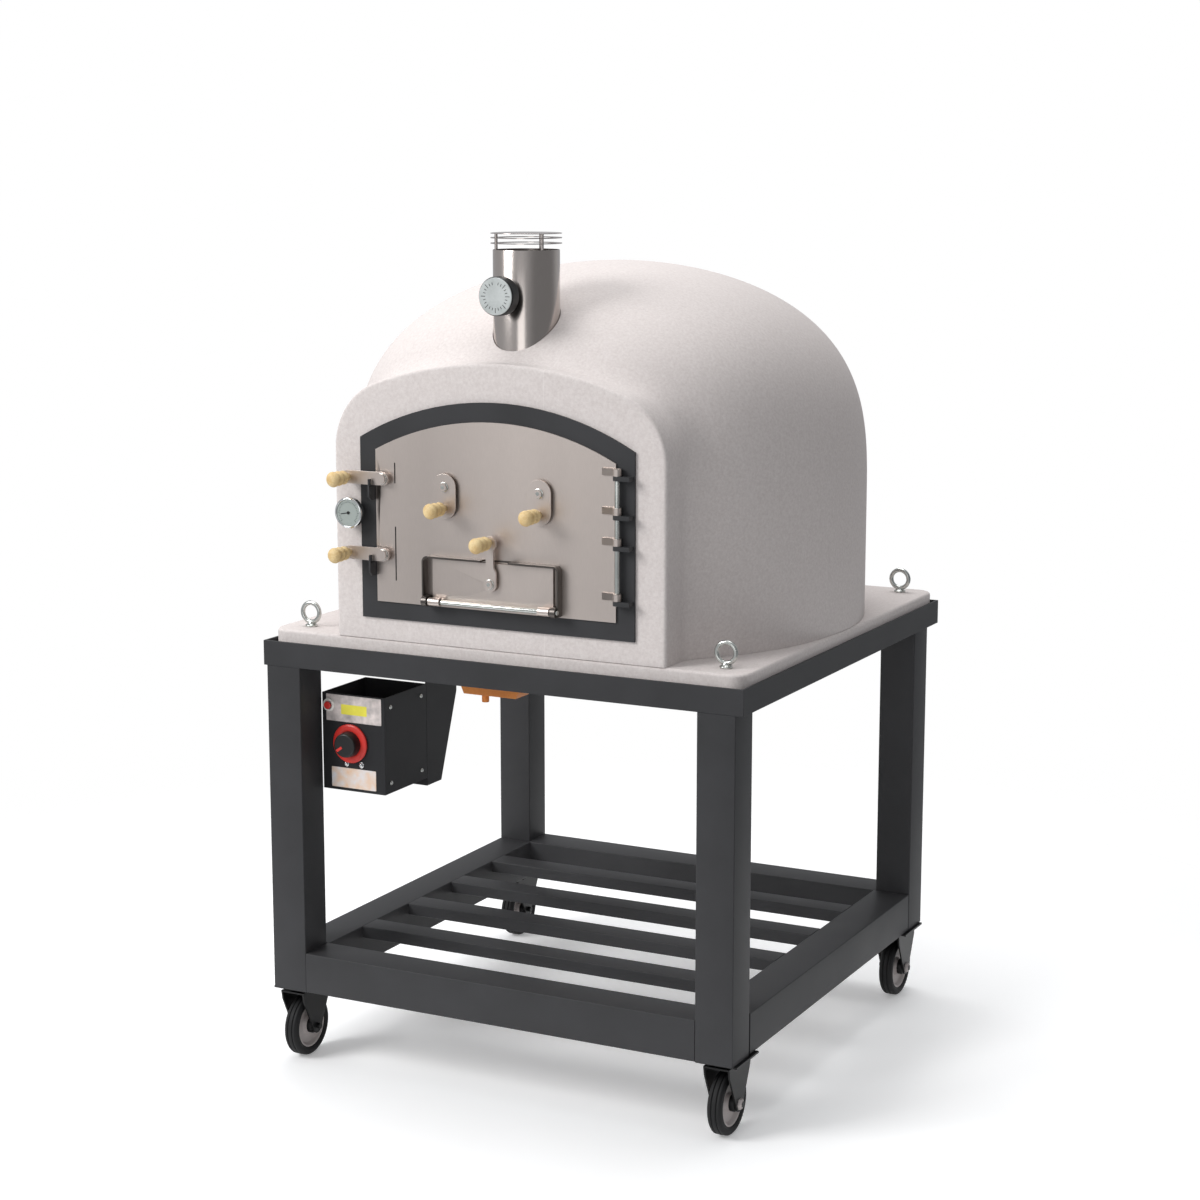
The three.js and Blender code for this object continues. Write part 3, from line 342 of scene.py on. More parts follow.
def softened(profile, radius, steps=4, closed=False):
    """A profile with each inner corner replaced by a short parabola that starts `radius` before it."""
    profile = np.asarray(profile, dtype=float)
    count = len(profile)
    result = [] if closed else [profile[:1]]
    blend = np.linspace(0, 1, steps)[:, None]
    for k in (range(count) if closed else range(1, count - 1)):
        before, here, after = profile[k - 1], profile[k], profile[(k + 1) % count]
        back, ahead = before - here, after - here
        reach_back = min(radius, np.linalg.norm(back) * 0.45) / max(np.linalg.norm(back), 1e-9)
        reach_ahead = min(radius, np.linalg.norm(ahead) * 0.45) / max(np.linalg.norm(ahead), 1e-9)
        start, end = here + back * reach_back, here + ahead * reach_ahead
        result.append((1 - blend) ** 2 * start + 2 * blend * (1 - blend) * here + blend ** 2 * end)
    if not closed:
        result.append(profile[-1:])
    return np.concatenate(result)


fork_black = finish("fork_black", "#0b0b0c", "#121213", (0.3, 0.42), 0.00003, fine=500.0,
                    Specular_IOR_Level=0.25)
tyre_rubber = finish("tyre_rubber", "#131314", "#1b1b1c", (0.55, 0.7), 0.00005, fine=600.0,
                     Specular_IOR_Level=0.3)
rim_grey = finish("rim_grey", "#a29a98", "#b5adab", (0.4, 0.5), 0.00003, fine=300.0)
for corner in corners:
    eased(f"castor_fork_{corner}", "root", fork_black, 0.0012)
    low, high = node_box(f"castor_wheel_{corner}")
    hub = (low + high) / 2
    radius = high[2] - hub[2]
    tread = [(radius - 0.0165, 0.0125), (radius - 0.010, 0.0152), (radius - 0.005, 0.0145),
             (radius - 0.0005, 0.0105), (radius - 0.0003, 0.0062), (radius - 0.0022, 0.0054),
             (radius - 0.0022, 0.0044), (radius - 0.0002, 0.0036)]
    tyre = np.array(tread + [(r, -along) for r, along in reversed(tread)])
    wheel_body = f"wheel_{corner}"
    piece(f"tyre_{corner}", [ring_part(softened(tyre, 0.001, 3, closed=True), hub, 0, 64)], wheel_body,
          tyre_rubber, [f"castor_wheel_{corner}"])
    rim = [(radius - 0.0163, 0.0118), (radius - 0.020, 0.0118), (radius - 0.024, 0.004), (0.020, 0.003),
           (0.0165, 0.0095), (0.0165, 0.0110)]
    rim = np.array(rim + [(r, -along) for r, along in reversed(rim)])
    piece(f"rim_{corner}", [ring_part(softened(rim, 0.0015, 3, closed=True), hub, 0, 48)], wheel_body,
          rim_grey)
    sleeve = [(0.0072, 0.0205), (0.0150, 0.0205), (0.0164, 0.0180), (0.0164, -0.0180), (0.0150, -0.0205),
              (0.0072, -0.0205)]
    piece(f"hub_{corner}", [ring_part(sleeve, hub, 0, 32)], wheel_body, fork_black)
    side = -1 if "left" in corner else 1
    nut = hub + np.array([side * 0.0265, 0, 0])
    cap = [(0, side * 0.007), (0.006, side * 0.0065), (0.0105, side * 0.004), (0.0115, 0), (0, 0)]
    piece(f"axle_nut_{corner}", [turned_part(cap, nut, 0, 6)], "root", rim_grey)


# ---- Slab: one casting of pale refractory, its corners and top edge rounded by the mould.
# A faint line across the front shows where the mould closed.
def build_mould_line():
    """A mask that is 1 within Width of the plane x = At and fades out over the same distance."""
    group, given, result = new_group("mould_line", [("At", "NodeSocketFloat", 0.1),
                                                    ("Width", "NodeSocketFloat", 0.001)],
                                     [("Mask", "NodeSocketFloat")])
    nodes, links = group.nodes, group.links
    place = nodes.new("ShaderNodeTexCoord")
    split = nodes.new("ShaderNodeSeparateXYZ")
    links.new(place.outputs["Object"], split.inputs["Vector"])
    away = nodes.new("ShaderNodeMath")
    away.operation = "SUBTRACT"
    links.new(split.outputs["X"], away.inputs[0])
    links.new(given.outputs["At"], away.inputs[1])
    distance = nodes.new("ShaderNodeMath")
    distance.operation = "ABSOLUTE"
    links.new(away.outputs[0], distance.inputs[0])
    share = nodes.new("ShaderNodeMath")
    share.operation = "DIVIDE"
    links.new(distance.outputs[0], share.inputs[0])
    links.new(given.outputs["Width"], share.inputs[1])
    fade = nodes.new("ShaderNodeMapRange")
    fade.inputs["From Min"].default_value = 0.6
    fade.inputs["From Max"].default_value = 1.4
    fade.inputs["To Min"].default_value = 1.0
    fade.inputs["To Max"].default_value = 0.0
    links.new(share.outputs[0], fade.inputs["Value"])
    links.new(fade.outputs["Result"], result.inputs["Mask"])
    return group


mould_line = build_mould_line()
MOULD_LINE_X = 0.102
NO_LINE = 5.0     # far off the piece


def cast_refractory(name, line_at):
    """The casting's finish, with a slightly lighter line where the mould closed."""
    material = finish(name, "#cbc2bf", "#ddd6d3", (0.85, 0.95), 0.0006, coarse=190.0, fine=480.0)
    nodes, links = material.node_tree.nodes, material.node_tree.links
    shader = nodes["Principled BSDF"]
    tone = shader.inputs["Base Color"].links[0].from_socket
    line = nodes.new("ShaderNodeGroup")
    line.node_tree = mould_line
    line.inputs["At"].default_value = line_at
    line.inputs["Width"].default_value = 0.0012
    strength = nodes.new("ShaderNodeMath")
    strength.operation = "MULTIPLY"
    strength.inputs[1].default_value = 0.2
    links.new(line.outputs["Mask"], strength.inputs[0])
    mix = nodes.new("ShaderNodeMix")
    mix.data_type = "RGBA"
    links.new(strength.outputs[0], mix.inputs[0])
    links.new(tone, mix.inputs[6])
    mix.inputs[7].default_value = linear("#efeae7")
    links.new(mix.outputs[2], shader.inputs["Base Color"])
    return material


front_casting = cast_refractory("cast_front", MOULD_LINE_X)
slab_low, slab_high = node_box("base_slab")
slab_size, slab_middle = slab_high - slab_low, (slab_high + slab_low) / 2
edge = 0.006
levels = [(0.0, slab_low[2]), (0.0, slab_high[2] - edge)]
turn = np.linspace(0, math.pi / 2, 7)[1:]
levels += list(zip(edge * (1 - np.cos(turn)), slab_high[2] - edge + edge * np.sin(turn)))
rings = []
for inset, height in levels:
    outline = rounded_outline(slab_size[0] - 2 * inset, slab_size[1] - 2 * inset, 0.035 - inset, 9)
    rings.append(np.column_stack([outline + slab_middle[:2], np.full(len(outline), height)]))
piece("slab_casting", [grid_part(np.array(rings))], "root", front_casting, ["base_slab"],
      angle=50)


# ---- Dome: a cast shell, upright to the springing and a superellipse above it, rubbed smooth.
# The cooking vault inside has the same form, a hand's width smaller.
DOME_X, DOME_FRONT, DOME_BACK, DOME_Y = 0.5015, 0.526, 0.495, oven_y + 0.010
FRONT_PLAN = 2.3
SPRINGING, APEX, PLAN, RISE = 1.107, 1.581, 1.95, 3.19
SEAT = slab_high[2] + 0.0003
PORTAL_HALF, PORTAL_TOP, PORTAL_ARC, PORTAL_SHOULDER = 0.350, 1.411, 0.782, 0.134
BLEND = 0.036
SHELL_THICK, VAULT_OUTSIDE, VAULT_INSIDE = 0.035, 0.077, 0.125
FLUE_HOLE = 0.0636


def arch_outline(half, bottom, top, arc, shoulder, steps=(14, 24, 16, 48)):
    """A closed arch in (x, z) from its bottom right corner: bottom edge to the left, up the left side,
    over the left shoulder, along the top arc, and down the right side. Returns points and normals."""
    bottom_steps, side_steps, shoulder_steps, arc_steps = steps
    arc_z = top - arc
    shoulder_x = half - shoulder
    shoulder_z = arc_z + math.sqrt((arc - shoulder) ** 2 - shoulder_x ** 2)
    meet = math.atan2(shoulder_z - arc_z, shoulder_x)
    edge_x = np.linspace(half, -half, bottom_steps)
    floor = np.stack([edge_x, np.full(bottom_steps, bottom)], axis=1)
    floor_normal = np.tile([0.0, -1.0], (bottom_steps, 1))
    rise = np.linspace(bottom, shoulder_z, side_steps)
    left = np.stack([np.full(side_steps, -half), rise], axis=1)
    left_normal = np.tile([-1.0, 0.0], (side_steps, 1))
    bend = np.linspace(math.pi, math.pi - meet, shoulder_steps)[1:]
    left_shoulder = np.stack([-shoulder_x + shoulder * np.cos(bend), shoulder_z + shoulder * np.sin(bend)],
                             axis=1)
    left_shoulder_normal = np.stack([np.cos(bend), np.sin(bend)], axis=1)
    sweep = np.linspace(math.pi - meet, meet, arc_steps)[1:]
    crown = np.stack([arc * np.cos(sweep), arc_z + arc * np.sin(sweep)], axis=1)
    crown_normal = np.stack([np.cos(sweep), np.sin(sweep)], axis=1)
    mirror = np.array([-1.0, 1.0])
    points = np.concatenate([floor, left, left_shoulder, crown, (left_shoulder * mirror)[::-1][1:],
                             (left * mirror)[::-1]])
    normals = np.concatenate([floor_normal, left_normal, left_shoulder_normal, crown_normal,
                              (left_shoulder_normal * mirror)[::-1][1:], (left_normal * mirror)[::-1]])
    return points, normals


def distance_outside_arch(x, z):
    """How far a point in (x, z) lies outside the portal's sides and top; negative inside."""
    arc_z = PORTAL_TOP - PORTAL_ARC
    shoulder_x = PORTAL_HALF - PORTAL_SHOULDER
    shoulder_z = arc_z + math.sqrt((PORTAL_ARC - PORTAL_SHOULDER) ** 2 - shoulder_x ** 2)
    x = np.abs(x)
    on_crown = np.arctan2(z - arc_z, x) > math.atan2(shoulder_z - arc_z, shoulder_x)
    crown = np.hypot(x, z - arc_z) - PORTAL_ARC
    shoulder = np.hypot(x - shoulder_x, z - shoulder_z) - PORTAL_SHOULDER
    side = x - PORTAL_HALF
    return np.where(on_crown, crown, np.where(z > shoulder_z, shoulder, side))


def dome_points(inset, rows, columns, base):
    """The dome moved in by `inset`: plan radii times cos(t) to 2/PLAN, height sin(t) to 2/RISE above
    the springing, for t from the springing to just below the apex, and upright down to the base. The
    plan is an ellipse behind and a superellipse of power FRONT_PLAN in front."""
    turn = np.linspace(0, 2 * math.pi, columns, endpoint=False)
    reach_y = np.where(np.sin(turn) < 0, DOME_FRONT, DOME_BACK) - inset
    t = np.linspace(0, math.pi / 2, rows, endpoint=False)
    spread = np.concatenate([np.ones(12), np.cos(t) ** (2 / PLAN), [0.0]])
    upright = np.linspace(base, SPRINGING, 12, endpoint=False)
    height = np.concatenate([upright, SPRINGING + (APEX - inset - SPRINGING) * np.sin(t) ** (2 / RISE),
                             [APEX - inset]])
    power = np.where(np.sin(turn) < 0, 2 / FRONT_PLAN, 1.0)
    x = (DOME_X - inset) * spread[:, None] * np.sign(np.cos(turn)) * np.abs(np.cos(turn)) ** power
    y = DOME_Y + reach_y * spread[:, None] * np.sign(np.sin(turn)) * np.abs(np.sin(turn)) ** power
    return np.stack([x, y, np.broadcast_to(height[:, None], x.shape)], axis=-1)


def dome_part(outer_inset, inner_inset, rows, columns):
    """A dome shell between two insets, open underneath and closed along its foot."""
    outer = dome_points(outer_inset, rows, columns, SEAT)
    covered = (outer[..., 1] < DOME_Y) & (outer_inset == 0)
    off_portal = distance_outside_arch(outer[..., 0], outer[..., 2])
    under = np.clip((BLEND - 0.004 - off_portal) * 0.5, 0, 0.003) * covered
    centre = np.array([0, DOME_Y, SPRINGING])
    inward = centre - outer
    inward[..., 2] = np.where(outer[..., 2] < SPRINGING, 0, inward[..., 2])
    outer = outer + inward / np.linalg.norm(inward, axis=-1, keepdims=True).clip(1e-6) * under[..., None]
    inner = dome_points(inner_inset, rows // 2, columns, SEAT)
    return grid_part(np.concatenate([outer[::-1], inner]), caps=False)


def cutter(name, part):
    """A closed part as an object of its own, for carve to take away."""
    mesh = bpy.data.meshes.new(name)
    mesh.from_pydata(np.asarray(part[0]).tolist(), [], part[1])
    work = bmesh.new()
    work.from_mesh(mesh)
    bmesh.ops.remove_doubles(work, verts=work.verts, dist=MERGE_DISTANCE)
    bmesh.ops.recalc_face_normals(work, faces=work.faces)
    work.to_mesh(mesh)
    work.free()
    tool = bpy.data.objects.new(name, mesh)
    bpy.context.scene.collection.objects.link(tool)
    return tool


def carve(target, parts):
    """Takes closed parts out of a piece for good."""
    for number, part in enumerate(parts):
        tool = cutter(f"tool_{number}", part)
        opening = target.modifiers.new("opening", "BOOLEAN")
        opening.operation = "DIFFERENCE"
        opening.solver = "EXACT"
        opening.object = tool
        bpy.context.view_layer.update()
        carved = bpy.data.meshes.new_from_object(target.evaluated_get(bpy.context.evaluated_depsgraph_get()))
        target.modifiers.clear()
        target.data = carved
        bpy.data.objects.remove(tool)


flue_low, flue_high = node_box("flue_pipe")
flue_middle = (flue_low + flue_high) / 2
PORTAL_FRONT = oven_y - 0.493
PORTAL_BACK = oven_y - 0.290
MOUTH_HALF, MOUTH_SILL, MOUTH_TOP, MOUTH_ARC = 0.2433, 0.9627, 1.2943, 0.5413


def arch_prism(outline, front, back):
    """An arch outline carried straight along Y."""
    rows = [np.column_stack([outline[:, 0], np.full(len(outline), y), outline[:, 1]]) for y in (front, back)]
    return grid_part(np.array(rows))


flue_bore = turned_part([(0, 1.25), (FLUE_HOLE, 1.25), (FLUE_HOLE, 1.62), (0, 1.62)],
                        (0, flue_middle[1], 0), 2, 64)
portal_room = arch_prism(arch_outline(PORTAL_HALF + 0.0003, SEAT - 0.01, PORTAL_TOP + 0.0003, PORTAL_ARC,
                                      PORTAL_SHOULDER)[0], oven_y - 0.9, PORTAL_BACK)
dome_casting = cast_refractory("cast_dome", NO_LINE)
fired_brick = finish("fired_brick", "#b08a68", "#cfae8c", (0.85, 0.95), 0.0006, coarse=14.0, fine=160.0)
dome = piece("dome_casting", [dome_part(0.0, SHELL_THICK, 84, 256)], "root", dome_casting,
             ["dome_shell"], angle=40)
carve(dome, [portal_room, flue_bore])
vault = piece("vault_casting", [dome_part(VAULT_OUTSIDE, VAULT_INSIDE, 40, 128)], "root", fired_brick,
              ["inner_vault"])
carve(vault, [portal_room, flue_bore])


# ---- Portal: the arched front, cast with a soft hollow where it runs into the dome, and the mouth
# through it. Its front edge is rounded; the door frame is bolted on the flat face.
def gap_to_dome(points, normals, y):
    """For outline points at each depth y, how far out along their normal the dome's surface lies."""
    low = np.full(np.broadcast_shapes(y.shape, (len(points), 1)), -0.32)
    high = np.full(low.shape, 0.45)
    for _ in range(40):
        middle = (low + high) / 2
        x = points[:, :1] + normals[:, :1] * middle
        z = points[:, 1:] + normals[:, 1:] * middle
        across = np.abs(x / DOME_X) ** FRONT_PLAN
        forward = np.abs((y - DOME_Y) / DOME_FRONT) ** FRONT_PLAN
        spread = (across + forward) ** (1 / FRONT_PLAN)
        rise = np.clip(z - SPRINGING, 0, None) / (APEX - SPRINGING)
        inside = spread ** PLAN + rise ** RISE < 1
        low, high = np.where(inside, middle, low), np.where(inside, high, middle)
    return (low + high) / 2


def portal_part():
    """The portal as a closed ring of profiles round the arch: mouth, rounded front edge, outside, the
    hollow that eases into the dome by a smooth maximum, and back inside the wall."""
    steps = (14, 30, 16, 60)
    outline, normals = arch_outline(PORTAL_HALF, SEAT, PORTAL_TOP, PORTAL_ARC, PORTAL_SHOULDER, steps)
    mouth, _ = arch_outline(MOUTH_HALF, MOUTH_SILL, MOUTH_TOP, MOUTH_ARC, 0.001, steps)
    on_floor = normals[:, 1] < -0.5
    corner = np.argmax(~on_floor)
    depths = np.linspace(PORTAL_FRONT, oven_y - 0.10, 400)[None, :]
    gaps = gap_to_dome(outline, normals, depths)
    end = depths[0][np.argmax(gaps > BLEND, axis=1)]
    round_off = 0.007
    rows = []

    def row(outwards, y):
        """The outline moved out along its normals; the foot stays level and widens with its corners."""
        outwards, y = (np.broadcast_to(value, len(outline)) for value in (outwards, y))
        widen = outline[:, 0] * (1 + outwards[corner] / PORTAL_HALF)
        x = np.where(on_floor, widen, outline[:, 0] + normals[:, 0] * outwards)
        z = np.where(on_floor, SEAT, outline[:, 1] + normals[:, 1] * outwards)
        rows.append(np.column_stack([x, np.where(on_floor, y[corner], y), z]))

    row(-round_off, PORTAL_FRONT)
    rim = rows.pop()
    for share in (0.0, 0.03, 0.3, 0.6, 0.85):
        flat = mouth + (rim[:, [0, 2]] - mouth) * share
        rows.append(np.column_stack([flat[:, 0], np.full(len(flat), PORTAL_FRONT), flat[:, 1]]))
    rows.insert(0, np.column_stack([mouth[:, 0], np.full(len(mouth), PORTAL_BACK), mouth[:, 1]]))
    for angle in np.linspace(0, math.pi / 2, 6):
        row(-round_off * (1 - math.sin(angle)), PORTAL_FRONT + round_off * (1 - math.cos(angle)))
    start = PORTAL_FRONT + round_off
    for share in np.linspace(0, 1, 44)[1:]:
        y = start + (end - start) * share
        gap = gap_to_dome(outline, normals, y[:, None])[:, 0]
        nearness = np.clip(BLEND - np.abs(gap), 0, None) / BLEND
        row(np.maximum(gap, 0) + nearness ** 2 * BLEND / 4, y)
    row(BLEND - 0.02, end + 0.004)
    row(-0.004, PORTAL_BACK)
    return grid_part(np.array(rows), wrap_rows=True)


portal = piece("portal_casting", [portal_part()], "root", front_casting, ["portal"],
               angle=50)
carve(portal, [flue_bore])


# ---- Hearth: fired clay tiles laid dry, level with the sill of the door.
# It keeps its outline; only the clay's finish is given here.
def give(node, material):
    """Puts a finish on a CAD piece that keeps its own shape."""
    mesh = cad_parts[node].data
    mesh.materials.clear()
    mesh.materials.append(material)


def tiled_clay():
    """Square clay tiles with narrow dark joints, each tile a little different in tone."""
    material = finish("hearth_tiles", "#b8936f", "#d3b28f", (0.8, 0.95), 0.0005, coarse=10.0, fine=200.0)
    nodes, links = material.node_tree.nodes, material.node_tree.links
    shader = nodes["Principled BSDF"]
    tone = shader.inputs["Base Color"].links[0].from_socket
    place = nodes.new("ShaderNodeTexCoord")
    tiles = nodes.new("ShaderNodeTexBrick")
    tiles.offset = 0.0
    tiles.inputs["Scale"].default_value = 1.0
    tiles.inputs["Brick Width"].default_value = 0.25
    tiles.inputs["Row Height"].default_value = 0.25
    tiles.inputs["Mortar Size"].default_value = 0.0012
    tiles.inputs["Color2"].default_value = linear("#b98f69")
    tiles.inputs["Mortar"].default_value = linear("#4a3a2d")
    links.new(place.outputs["Object"], tiles.inputs["Vector"])
    links.new(tone, tiles.inputs["Color1"])
    links.new(tiles.outputs["Color"], shader.inputs["Base Color"])
    return material


give("hearth_floor", tiled_clay())
fibre = finish("ceramic_fibre", "#dcd8cf", "#efece5", (0.95, 1.0), 0.0012, coarse=20.0, fine=240.0)
for node in ("dome_blanket", "floor_insulation", "door_insulation"):
    give(node, fibre)


# ---- Lifting eyes: forged steel, bright zinc plated, screwed into sockets cast in the slab.
# The ring stands across the oven so that a hook goes in from the front.
zinc = finish("zinc_plate", "#b9bcb8", "#d2d4d0", (0.2, 0.28), 0.000004, coarse=40.0, fine=400.0,
              metallic=1.0)
EYE_RING, EYE_WIRE = 0.019, 0.0045
for corner in corners:
    low, high = node_box(f"eyebolt_{corner}")
    middle = (low + high) / 2
    eye = np.array([middle[0], middle[1], high[2] - EYE_RING - EYE_WIRE])
    around = np.linspace(0, 2 * math.pi, 48, endpoint=False)
    section = np.linspace(0, 2 * math.pi, 16, endpoint=False)
    reach = EYE_RING + EYE_WIRE * np.cos(section)[None, :]
    points = np.stack([eye[0] + reach * np.sin(around)[:, None],
                       np.broadcast_to(eye[1] + EYE_WIRE * np.sin(section)[None, :], (48, 16)),
                       eye[2] + reach * np.cos(around)[:, None]], axis=-1)
    foot = slab_high[2]
    stem = softened([(0, -0.02), (0.006, -0.02), (0.006, 0.0003), (0.012, 0.0003), (0.012, 0.0035),
                     (0.0072, 0.0062), (0.0055, 0.011), (0, 0.011)], 0.0008, 3)
    piece(f"lifting_eye_{corner}", [grid_part(points, wrap_rows=True),
                                    turned_part(stem, (eye[0], eye[1], foot), 2, 32)],
          "root", zinc, [f"eyebolt_{corner}"])


# ---- Flue: rolled stainless tube with a cowl of two rings and a cap on posts, and a butterfly damper
# turned by a black knob with a silver dial face.
polished = finish("stainless_tube", "#b9b0ab", "#c6beb9", (0.16, 0.22), 0.00001, coarse=3.0, fine=500.0,
                  stretch=(1, 1, 0.15), metallic=1.0)
flue_radius = (flue_high[0] - flue_low[0]) / 2
pipe = [(flue_radius - 0.0015, flue_low[2]), (flue_radius, flue_low[2]), (flue_radius, flue_high[2] - 0.001),
        (flue_radius - 0.0005, flue_high[2]), (flue_radius - 0.0015, flue_high[2])]
axis_point = (0, flue_middle[1], 0)
piece("flue_tube", [ring_part(pipe, axis_point, 2, 96)], "root", polished, ["flue_pipe"])
cowl_low, cowl_high = node_box("flue_cowl")
cowl_radius = (cowl_high[0] - cowl_low[0]) / 2
cap = softened([(0, cowl_high[2] - 0.0016), (cowl_radius, cowl_high[2] - 0.0016),
                (cowl_radius, cowl_high[2] - 0.0004),
                (cowl_radius - 0.002, cowl_high[2]), (0, cowl_high[2])], 0.0004, 3)
cowl_parts = [turned_part(cap, axis_point, 2, 72)]
for height in (1.6265, 1.6365):
    ring = [(0.051, height - 0.0015), (cowl_radius, height - 0.0015), (cowl_radius, height), (0.051, height)]
    cowl_parts.append(ring_part(ring, axis_point, 2, 72))
COWL_POSTS, POST_CIRCLE = 3, 0.056
for post in range(COWL_POSTS):
    angle = math.pi / 2 + post * 2 * math.pi / COWL_POSTS
    foot = (POST_CIRCLE * math.cos(angle), flue_middle[1] + POST_CIRCLE * math.sin(angle), 0)
    cowl_parts.append(turned_part([(0, 1.59), (0.003, 1.59), (0.003, 1.644), (0, 1.644)], foot, 2, 12))
piece("flue_cap", cowl_parts, "root", polished, ["flue_cowl"])

stainless = finish("stainless_sheet", "#cabfb8", "#d5cac3", (0.34, 0.44), 0.000012, coarse=4.0, fine=900.0,
                   stretch=(1, 1, 0.08), metallic=1.0)
give("damper_plate", stainless)
black_plastic = finish("black_plastic", "#101011", "#19191a", (0.35, 0.45), 0.00004, fine=500.0)
dial_silver = finish("dial_silver", "#b4b9b7", "#c8cccb", (0.35, 0.45), 0.00001, coarse=30.0, metallic=0.6)
knob_low, knob_high = node_box("damper_knob")
knob_axis = (0, 0, (knob_low[2] + knob_high[2]) / 2)
knob_front, knob_back = knob_low[1], knob_high[1]
knob_profile = softened([(0, knob_back), (0.014, knob_back), (0.014, knob_front + 0.028),
                         (0.033, knob_front + 0.028),
                         (0.036, knob_front + 0.025), (0.036, knob_front + 0.003),
                         (0.034, knob_front + 0.0006), (0, knob_front + 0.0006)], 0.0012, 4)
piece("damper_grip", [turned_part(knob_profile, knob_axis, 1, 64)], "damper", black_plastic,
      ["damper_knob"])
face = [(0, knob_front), (0.0335, knob_front), (0.0342, knob_front + 0.0008), (0, knob_front + 0.0008)]
piece("damper_face", [turned_part(face, knob_axis, 1, 64)], "damper", dial_silver)


def tick_part(centre, radius, length, width, angle, y, depth=0.0002):
    """A short flat mark lying on a dial that faces -Y, pointing away from the dial's centre."""
    out = np.array([math.cos(angle), math.sin(angle)])
    across = np.array([-out[1], out[0]]) * width / 2
    flat = np.array([out * radius - across, out * (radius + length) - across,
                     out * (radius + length) + across,
                     out * radius + across]) + np.array([centre[0], centre[2]])
    rows = [np.column_stack([flat[:, 0], np.full(4, level), flat[:, 1]]) for level in (y, y + depth)]
    return grid_part(np.array(rows))


marks = [tick_part(knob_axis, 0.021, 0.009 if step % 3 == 0 else 0.005, 0.0012, step * math.pi / 12,
                   knob_front - 0.00015) for step in range(24) if step != 6]
piece("damper_marks", marks, "damper", black_plastic)


# ---- Door frame: a laser-cut arched plate with a folded sleeve, hinge lugs and latch keepers welded
# on, all powder coated. Each keeper's front lip stands up in front of its latch bar.
eased("door_frame", "root", powder_coat, 0.0008)
for latch in ("upper", "lower"):
    low, high = node_box(f"latch_bar_{latch}")
    lip_low = np.array([-0.258, oven_y - 0.5238, low[2] - 0.004])
    lip_high = np.array([-0.254, oven_y - 0.5155, low[2] + 0.012])
    piece(f"keeper_lip_{latch}", [bar_between(lip_low, lip_high, 2, 0.0012, 3)], "root", powder_coat,
          bevel=0.0015)
rod_low, rod_high = node_box("hinge_rod")
rod_middle = (rod_low + rod_high) / 2
rod = softened([(0, rod_low[2]), (0.005, rod_low[2]), (0.005, rod_high[2]), (0, rod_high[2])], 0.001, 3)
piece("hinge_pin", [turned_part(rod, (rod_middle[0], rod_middle[1], 0), 2, 24)], "root", zinc,
      ["hinge_rod"])


# ---- Door: satin stainless sheet over a stainless pan filled with ceramic fibre, with straps round
# the hinge pin. Latches, vent covers and the air intake are mounted on it.
# Painted shade: the intake hood's steel is darker than the door's stainless, standing in for the shade and
# dark reflections on the hood's rims.
hood_painted_shade = finish("hood_painted_shade", "#5d5855", "#6b6662", (0.3, 0.4), 0.000012, fine=900.0, metallic=1.0)
eased("door_liner", "door", stainless, 0.0005)
eased("intake_hood", "door", hood_painted_shade, 0.0005)
door_sheet = eased("door_panel", "door", stainless)
slot_heights = ((1.180, 1.219), (0.995, 1.098))
carve(door_sheet, [bar_between(np.array([-0.2123, oven_y - 0.505, low]),
                               np.array([-0.2097, oven_y - 0.4994, high]),
                               2, 0.0003, 3) for low, high in slot_heights])
# Painted shade: black strips set inside the slots make them read dark where shade falls.
piece("slot_painted_shade", [bar_between(np.array([-0.2122, oven_y - 0.5012, low + 0.0001]),
                                np.array([-0.2098, oven_y - 0.4995, high - 0.0001]), 2, 0.0003, 3)
                    for low, high in slot_heights], "door", fork_black)
low, high = node_box("flap_rod")
middle = (low + high) / 2
pin = softened([(0, low[0]), (0.0045, low[0]), (0.0045, high[0]), (0, high[0])], 0.001, 3)
piece("flap_pin", [turned_part(pin, (0, middle[1], middle[2]), 0, 24)], "door", zinc,
      ["flap_rod"])
eased("flap_panel", "flap", stainless, 0.0005)
eased("flap_lever", "lever", stainless, 0.0005)
for latch in ("upper", "lower"):
    eased(f"latch_bar_{latch}", f"latch_{latch}", stainless, 0.0005)
for side in ("left", "right"):
    eased(f"vent_cover_{side}", f"vent_{side}", stainless, 0.0005)


# ---- Wooden grips: turned from pale pine with swellings for the fingers, oiled, and held by a screw
# from behind. The grain runs along the grip.
def pine():
    """Pine: rings that drift about the grip's length, drawn out along Y, with fine darker pores."""
    return finish("turned_pine", "#c9a468", "#ecd5a3", (0.42, 0.58), 0.00012, coarse=60.0, fine=420.0,
                  stretch=(1, 0.12, 1))


pine_wood = pine()
for node, body in (("latch_handle_upper", "latch_upper"), ("latch_handle_lower", "latch_lower"),
                   ("vent_handle_left", "vent_left"), ("vent_handle_right", "vent_right"),
                   ("flap_handle", "lever")):
    low, high = node_box(node)
    middle, length = (low + high) / 2, high[1] - low[1]
    along = np.linspace(0, 1, 60)
    swell = (0.0131 + 0.0020 * np.cos(2 * math.pi * (along - 0.84) / 0.28)) * (0.84 + 0.16 * along)
    neck = 0.007
    rise = np.clip((along - 0.12) / 0.07, 0, 1)
    rise = rise * rise * (3 - 2 * rise)
    end = np.sqrt(np.clip(1 - np.clip((along - 0.90) / 0.10, 0, 1) ** 2, 0, 1))
    radius = (neck + (swell - neck) * rise) * (0.35 + 0.65 * end)
    radius[0] = radius[-1] = 0.0
    along[1] = along[0]
    radius[1] = neck
    profile = np.column_stack([radius, high[1] - along * length])
    piece(f"{node}_grip", [turned_part(profile, (middle[0], 0, middle[2]), 1, 40)], body, pine_wood,
          [node], angle=60)


